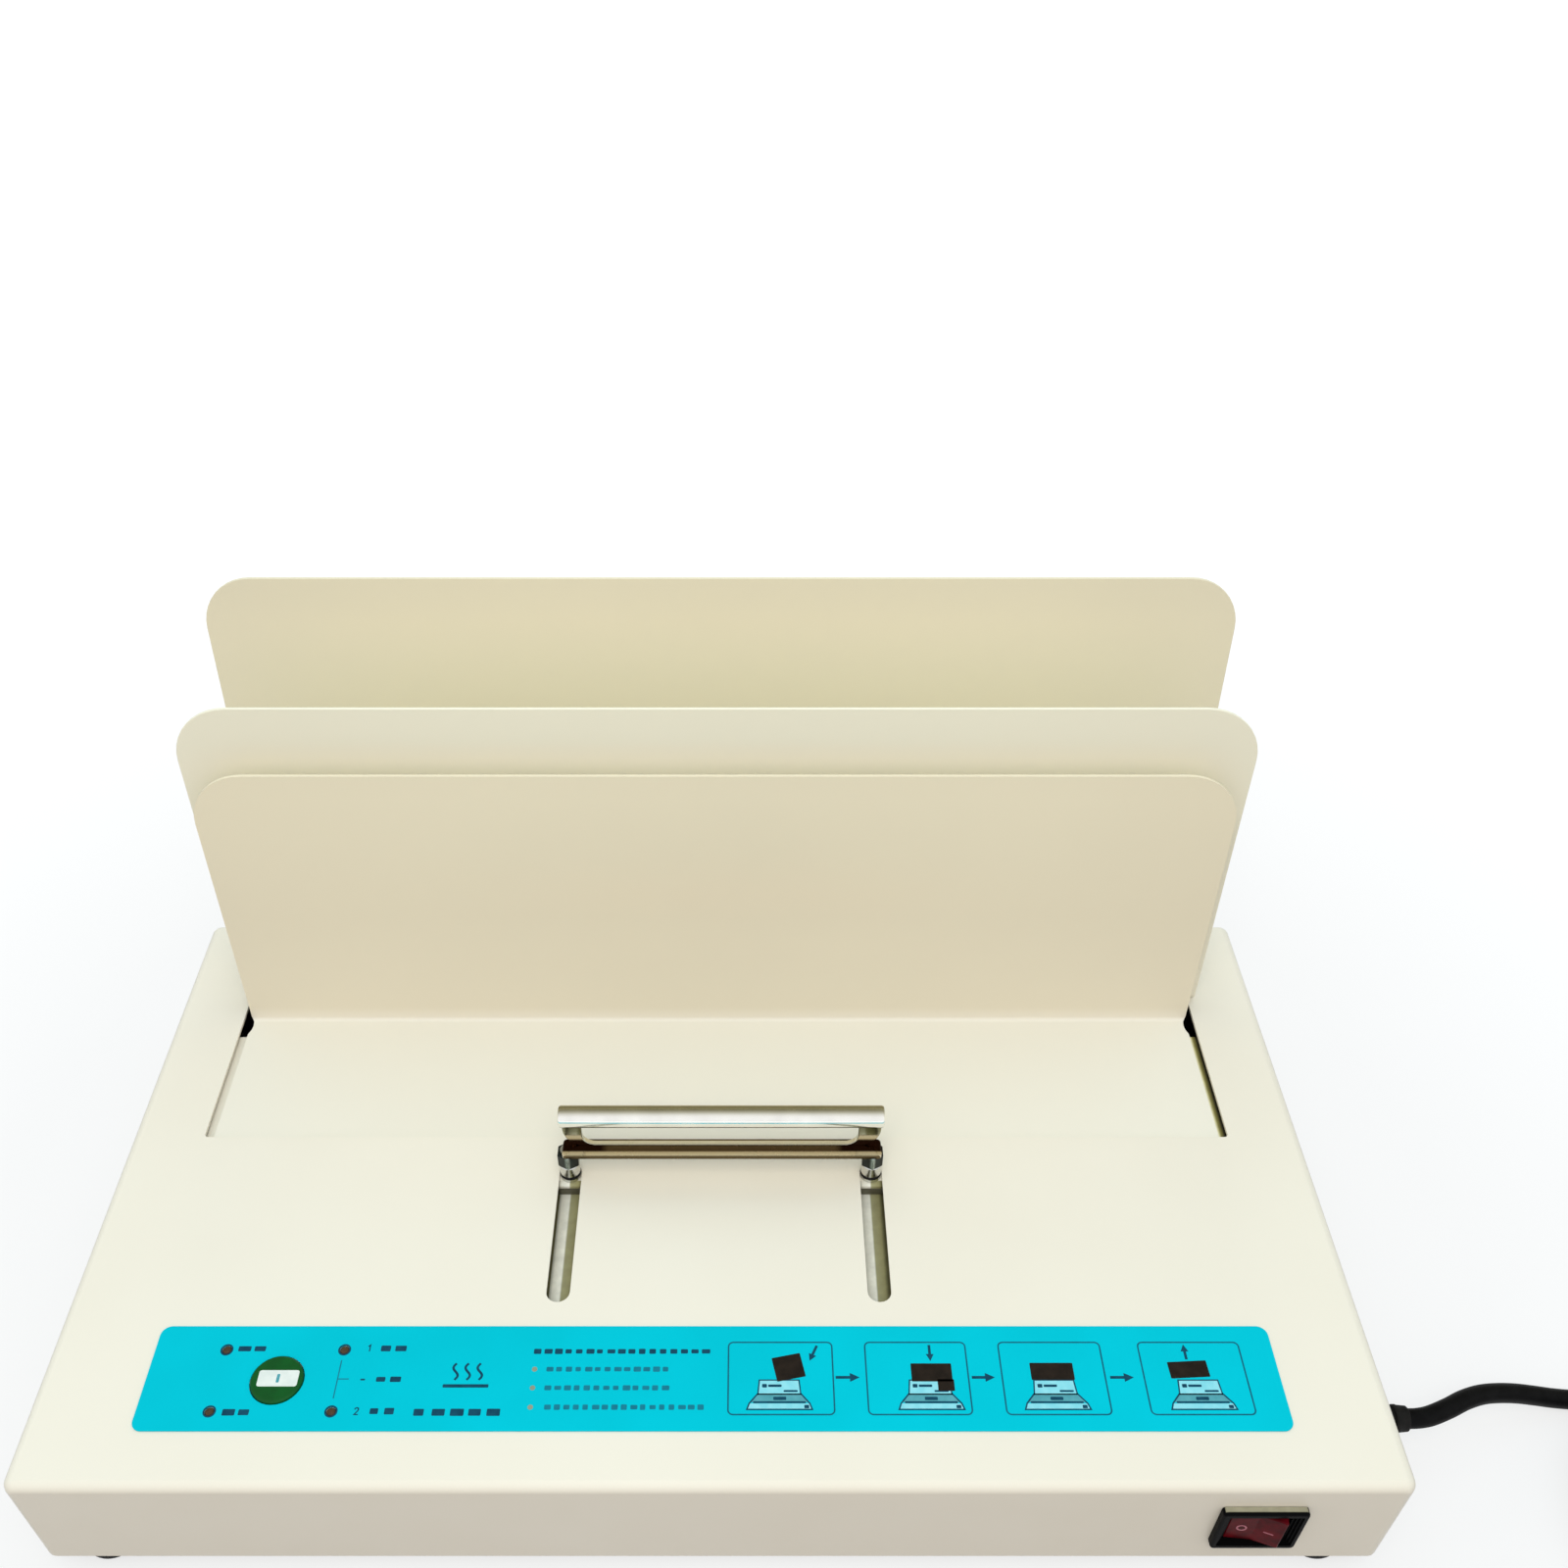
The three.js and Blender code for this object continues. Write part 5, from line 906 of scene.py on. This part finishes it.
def stroke(points, width):
    """An open line as one filled outline."""
    left, right = line_edges(points, width)
    return np.vstack([left, right[::-1]])


def bar_mark(x0, s0, x1, s1, radius=0.25):
    return rounded_outline(x0, s0, x1, s1, radius, 3)


def disc(x, s, radius):
    return rounded_outline(x - radius, s - radius, x + radius, s + radius, radius)


def arrow(x, s, length, degrees, shaft=1.0, head=3.2):
    """A solid arrow whose tail is at (x, s); its outline is turned by `degrees`."""
    along = np.array([0, length - head, length - head, length, length - head, length - head, 0])
    across = np.array([-shaft, -shaft, -head, 0, head, shaft, shaft]) / 2
    return spun(np.stack([along, across], -1), degrees) + (x, s)


def tilted(outline, degrees):
    return spun(outline - outline.mean(0), degrees) + outline.mean(0)


def printed(name, ink, fills=(), rings=(), level=0, top=label_top, on="control_label"):
    """One object of thin slabs: filled outlines, and rings, each an outer and an inner outline. A higher
    level lies a little higher, so that inks can overlap."""
    low = top - ink_sunk
    high = low + ink_height + overprint * level
    shift = (0, front_wall, 0)
    grids = [layers((outline, low), (outline, high)) + shift for outline in fills]
    loops = [layers((outer, low), (outer, high), (inner, high), (inner, low)) + shift
             for outer, inner in rings]
    joins(surface(name, grids, loops), on, ink)


# %% Instruction boxes
machines = (22.2, 71.5, 112.35, 159.7)


def in_boxes(outlines):
    """Every outline once for each machine; it is drawn round x = 0."""
    return [np.array(outline) + (x, 0) for x in machines for outline in outlines]


boxes = ((5.5, 40.0), (51.0, 84.5), (95.6, 129.5), (142.3, 176.0))
printed("label_frames", line_ink,
        rings=[line_edges(rounded_outline(x0, 25, x1, 51.3, 1.6), 0.5, closed=True) for x0, x1 in boxes])
step_arrows = [arrow(x0, 38.3, x1 - x0, 0) for x0, x1 in ((40.8, 48.7), (85.6, 93.2), (131.1, 138.9))]
hand_arrows = [arrow(*tail, shaft=0.9, head=2.6)
               for tail in ((35.0, 50.0, 6.2, -115), (72.5, 50.3, 6.0, -90), (157.6, 44.9, 5.6, 90))]
printed("label_arrows", navy_ink, step_arrows + hand_arrows)

pale_faces = [[(-10.4, 26.9), (10.4, 26.9), (9.6, 28.9), (-9.6, 28.9)],
              [(-6.9, 32.2), (6.9, 32.2), (6.5, 37.2), (-6.5, 37.2)]]
grey_faces = [[(-9.2, 29.3), (9.2, 29.3), (7.2, 32.0), (-7.2, 32.0)]]
body_corners = [(-10.6, 26.8), (10.6, 26.8), (9.8, 29.0), (7.2, 32.2), (-7.2, 32.2), (-9.8, 29.0)]
panel_corners = [(-7.0, 32.2), (7.0, 32.2), (6.5, 37.3), (-6.5, 37.3)]
machine_lines = [line_edges(body_corners, 0.5, closed=True), line_edges(panel_corners, 0.45, closed=True)]
machine_bars = [bar_mark(*bar) for bar in (
    (-8.6, 29.0, 8.6, 29.7), (-2.0, 30.1, 2.2, 31.3), (-5.6, 34.6, -4.0, 35.9), (-3.6, 34.8, 0.8, 35.7),
    (1.4, 33.0, 6.0, 33.7), (8.0, 27.2, 9.6, 28.4))]
printed("label_pale_faces", pale_ink, in_boxes(pale_faces))
printed("label_grey_faces", grey_ink, in_boxes(grey_faces))
printed("label_machine_lines", navy_ink, in_boxes(machine_bars), in_boxes(machine_lines), level=1)
books = [tilted(rounded_outline(*corners, 0.3), degrees) for degrees, *corners in (
    (12, 20.6, 37.6, 30.2, 46.4), (0, 65.8, 36.8, 79.2, 43.4), (0, 74.2, 33.4, 79.6, 37.6),
    (0, 105.2, 37.4, 119.4, 43.6), (3, 151.0, 38.2, 164.0, 44.2))]
printed("label_books", dark_ink, books, level=2)

# %% Dashes for the writing
spread = np.random.default_rng(7)


def dashes(*lines):
    """For each line (x0, x1, s, height, pitch): dashes of uneven width and height, one every pitch."""
    marks = []
    for x0, x1, s, height, pitch in lines:
        starts = np.arange(x0, x1 - 0.5 * pitch, pitch)
        widths = pitch * spread.uniform(0.55, 0.8, len(starts))
        heights = height * spread.uniform(0.75, 1.0, len(starts))
        marks += [bar_mark(x, s - h / 2, x + w, s + h / 2, 0.3) for x, w, h in zip(starts, widths, heights)]
    return marks


digit_size, thin_line = 0.85, 0.4


def digit(x, s, *points):
    return stroke(np.array(points) * digit_size + (x, s), thin_line)


heading = dashes((-59.4, 0.5, 47.9, 2.0, 3.5))
body_lines = dashes((-54.6, -12.4, 41.3, 1.9, 3.2), (-54.6, -12.8, 34.5, 1.9, 3.2),
                    (-54.0, -0.5, 27.6, 2.0, 3.1))
name_line = dashes((-96.0, -67.0, 25.8, 3.0, 5.9))
lamp_lines = dashes((-158.2, -147.5, 48.9, 2.3, 5.4), (-157.8, -147.2, 25.8, 2.3, 5.2),
                    (-110.6, -101.6, 49.0, 2.3, 4.8), (-110.2, -101.4, 37.6, 2.0, 4.6),
                    (-110.2, -101.2, 26.2, 2.3, 4.7))
one = digit(-115.0, 47.9, (0.1, 2.1), (0.8, 2.8), (0.8, 0))
two = digit(-115.2, 25.0, (0.05, 2.1), (0.25, 2.6), (0.8, 2.85), (1.35, 2.6), (1.5, 2.05), (1.2, 1.4),
            (0.1, 0), (1.6, 0))
numbers = [one, two, bar_mark(-115.4, 37.2, -113.8, 37.8)]
printed("label_writing", navy_ink, heading + name_line + lamp_lines + numbers)
printed("label_small_writing", soft_ink, body_lines)
printed("label_bullets", orange_ink, [disc(-58.5, s, 0.9) for s in (41.3, 34.5, 27.6)])
bracket = [(-122.9, 44.6), (-122.9, 30.7)], [(-122.7, 37.7), (-119.2, 37.7)]
printed("label_bracket", soft_ink, [stroke(line, thin_line) for line in bracket])
printed("label_lamp_rims", navy_ink,
        rings=[(disc(x, s, 2.15), disc(x, s, 1.62)) for x in (-162.0, -122.7) for s in (26.1, 48.5)])

# %% The sign for heat and the start button's mark
wave = np.linspace(0, 1, 13)
heat = [stroke(np.stack([x + 0.9 * np.sin(2 * np.pi * wave), 37.4 + 6.0 * wave], -1), 0.8)
        for x in (-84.5, -80.5, -76.5)]
printed("label_heat_sign", navy_ink, heat + [bar_mark(-88.0, 34.6, -73.0, 35.8)])
on_button = dict(top=button_top, on="start_button")
printed("button_plate_mark", white_ink, [rounded_outline(-148.8, 34.5, -135.6, 40.4, 0.8)], **on_button)
printed("button_bar_mark", grey_ink, [bar_mark(-142.7, 35.9, -141.7, 39.0)], level=1, **on_button)


# %% [markdown]
# ## The rocker's marks
# The paddle has two facets that meet in a shallow valley, with the ring for off on the left one and
# the bar for on across the right one. Each mark is drawn flat, one coordinate along the facet and the
# other upright, and is then laid on the facet and turned with the paddle about its axis.

# %% Rocker marks
rocker_pivot = np.array([175.5, front_wall + 3, 33.5])
facet_run, facet_rise, valley_y, rocker_angle, lift = 8.5, 1.044, -4.6, -13, 0.05


def on_facet(name, side, outer, *inner):
    """pivot + turn(valley + along * facet direction + upright + lift * facet normal)."""
    facet = np.array([facet_run, -facet_rise * side, 0]) / math.hypot(facet_run, facet_rise)
    normal = np.array([facet[1], -facet[0], 0])
    rows = [(outer, -lift), (outer, lift)] + [(hole, height) for hole in inner for height in (lift, -lift)]
    grid = np.stack([outline[:, :1] * facet + outline[:, 1:] * [0, 0, 1] + height * normal
                     for outline, height in rows])
    grid[..., :2] = spun(grid[..., :2] + (0, valley_y), rocker_angle)
    grid += rocker_pivot
    joins(surface(name, **{"rings" if inner else "grids": [grid]}), "switch_rocker", rocker_ink)


on_facet("rocker_off_mark", -1, *(circle(32) * size + (-4.2, -0.8) for size in ((1.7, 1.8), (1.15, 1.25))))
on_facet("rocker_on_mark", 1, rounded_outline(2.6, -1.1, 5.8, -0.6, 0.2))


# %% [markdown]
# ## Dressing the CAD pieces
# The cover, the tray and the panels already have the right shape in the CAD model, down to the slots
# and the fold. What they lack is the small radius of a cut and painted edge, which catches the bright
# line that the photograph shows along every panel. A copy of the CAD mesh is merged into one closed
# skin, its flat triangles are joined, and a bevel rounds what is sharp. The rails, the screws and the
# other small pieces that keep their outline get the same, as a machined or moulded edge has.

# %% Merged copies of CAD nodes
def dressed(node, edge, coat=None):
    """A merged copy of the node's mesh with flat triangles joined and sharp edges rounded by edge mm."""
    mesh = nodes[node].data.copy()
    shape = bmesh.new()
    shape.from_mesh(mesh)
    bmesh.ops.remove_doubles(shape, verts=shape.verts, dist=2e-6)
    bmesh.ops.dissolve_limit(shape, angle_limit=math.radians(0.4), verts=shape.verts, edges=shape.edges)
    shape.to_mesh(mesh)
    shape.free()
    smooth(mesh, SHARP_ANGLE)
    mesh.materials.clear()
    piece = linked(node + "_dressed", mesh)
    soften(piece, edge)
    stands_for(piece, node, coat=coat)
    return piece


for node, edge, coat in (("top_cover", 0.35, None), ("clamp_plate", 0.45, clamp_coat),
                         ("middle_panel", 0.45, middle_coat), ("rear_panel", 0.45, rear_coat),
                         ("base_tray", 0.3, None)):
    piece = dressed(node, edge, coat)
    print(f"{piece.name}: {len(piece.data.polygons)} faces before its edges are rounded")


# %% Dressed small pieces
small_edges = dict(
    guide_rail=0.25, guide_shoe=0.3, heater_bracket=0.25, screw=0.2, switch_housing=0.25,
    switch_rocker=0.35, heating_plate=0.4, control_label=0.1, board_bracket=0.25, push_switch=0.2,
    terminal_block=0.3, transformer_winding=0.4, transformer_core=0.2, return_spring=0.2)
# The rails, the shoes, the right bracket and the switch's bezel take finishes with painted light and shade.
own_finish = dict(
    guide_rail_left=slot_floor, guide_rail_right=slot_floor, guide_shoe_left=shoe_steel_painted_dark,
    guide_shoe_right=shoe_steel_painted_dark, heater_bracket_right=lip_painted_shade, switch_housing=bezel_plastic_painted_light)
for node in list(nodes):
    edge = next((value for key, value in small_edges.items() if key in node), None)
    if edge:
        dressed(node, edge, own_finish.get(node))
print(f"{len(small_edges)} kinds of small piece dressed")
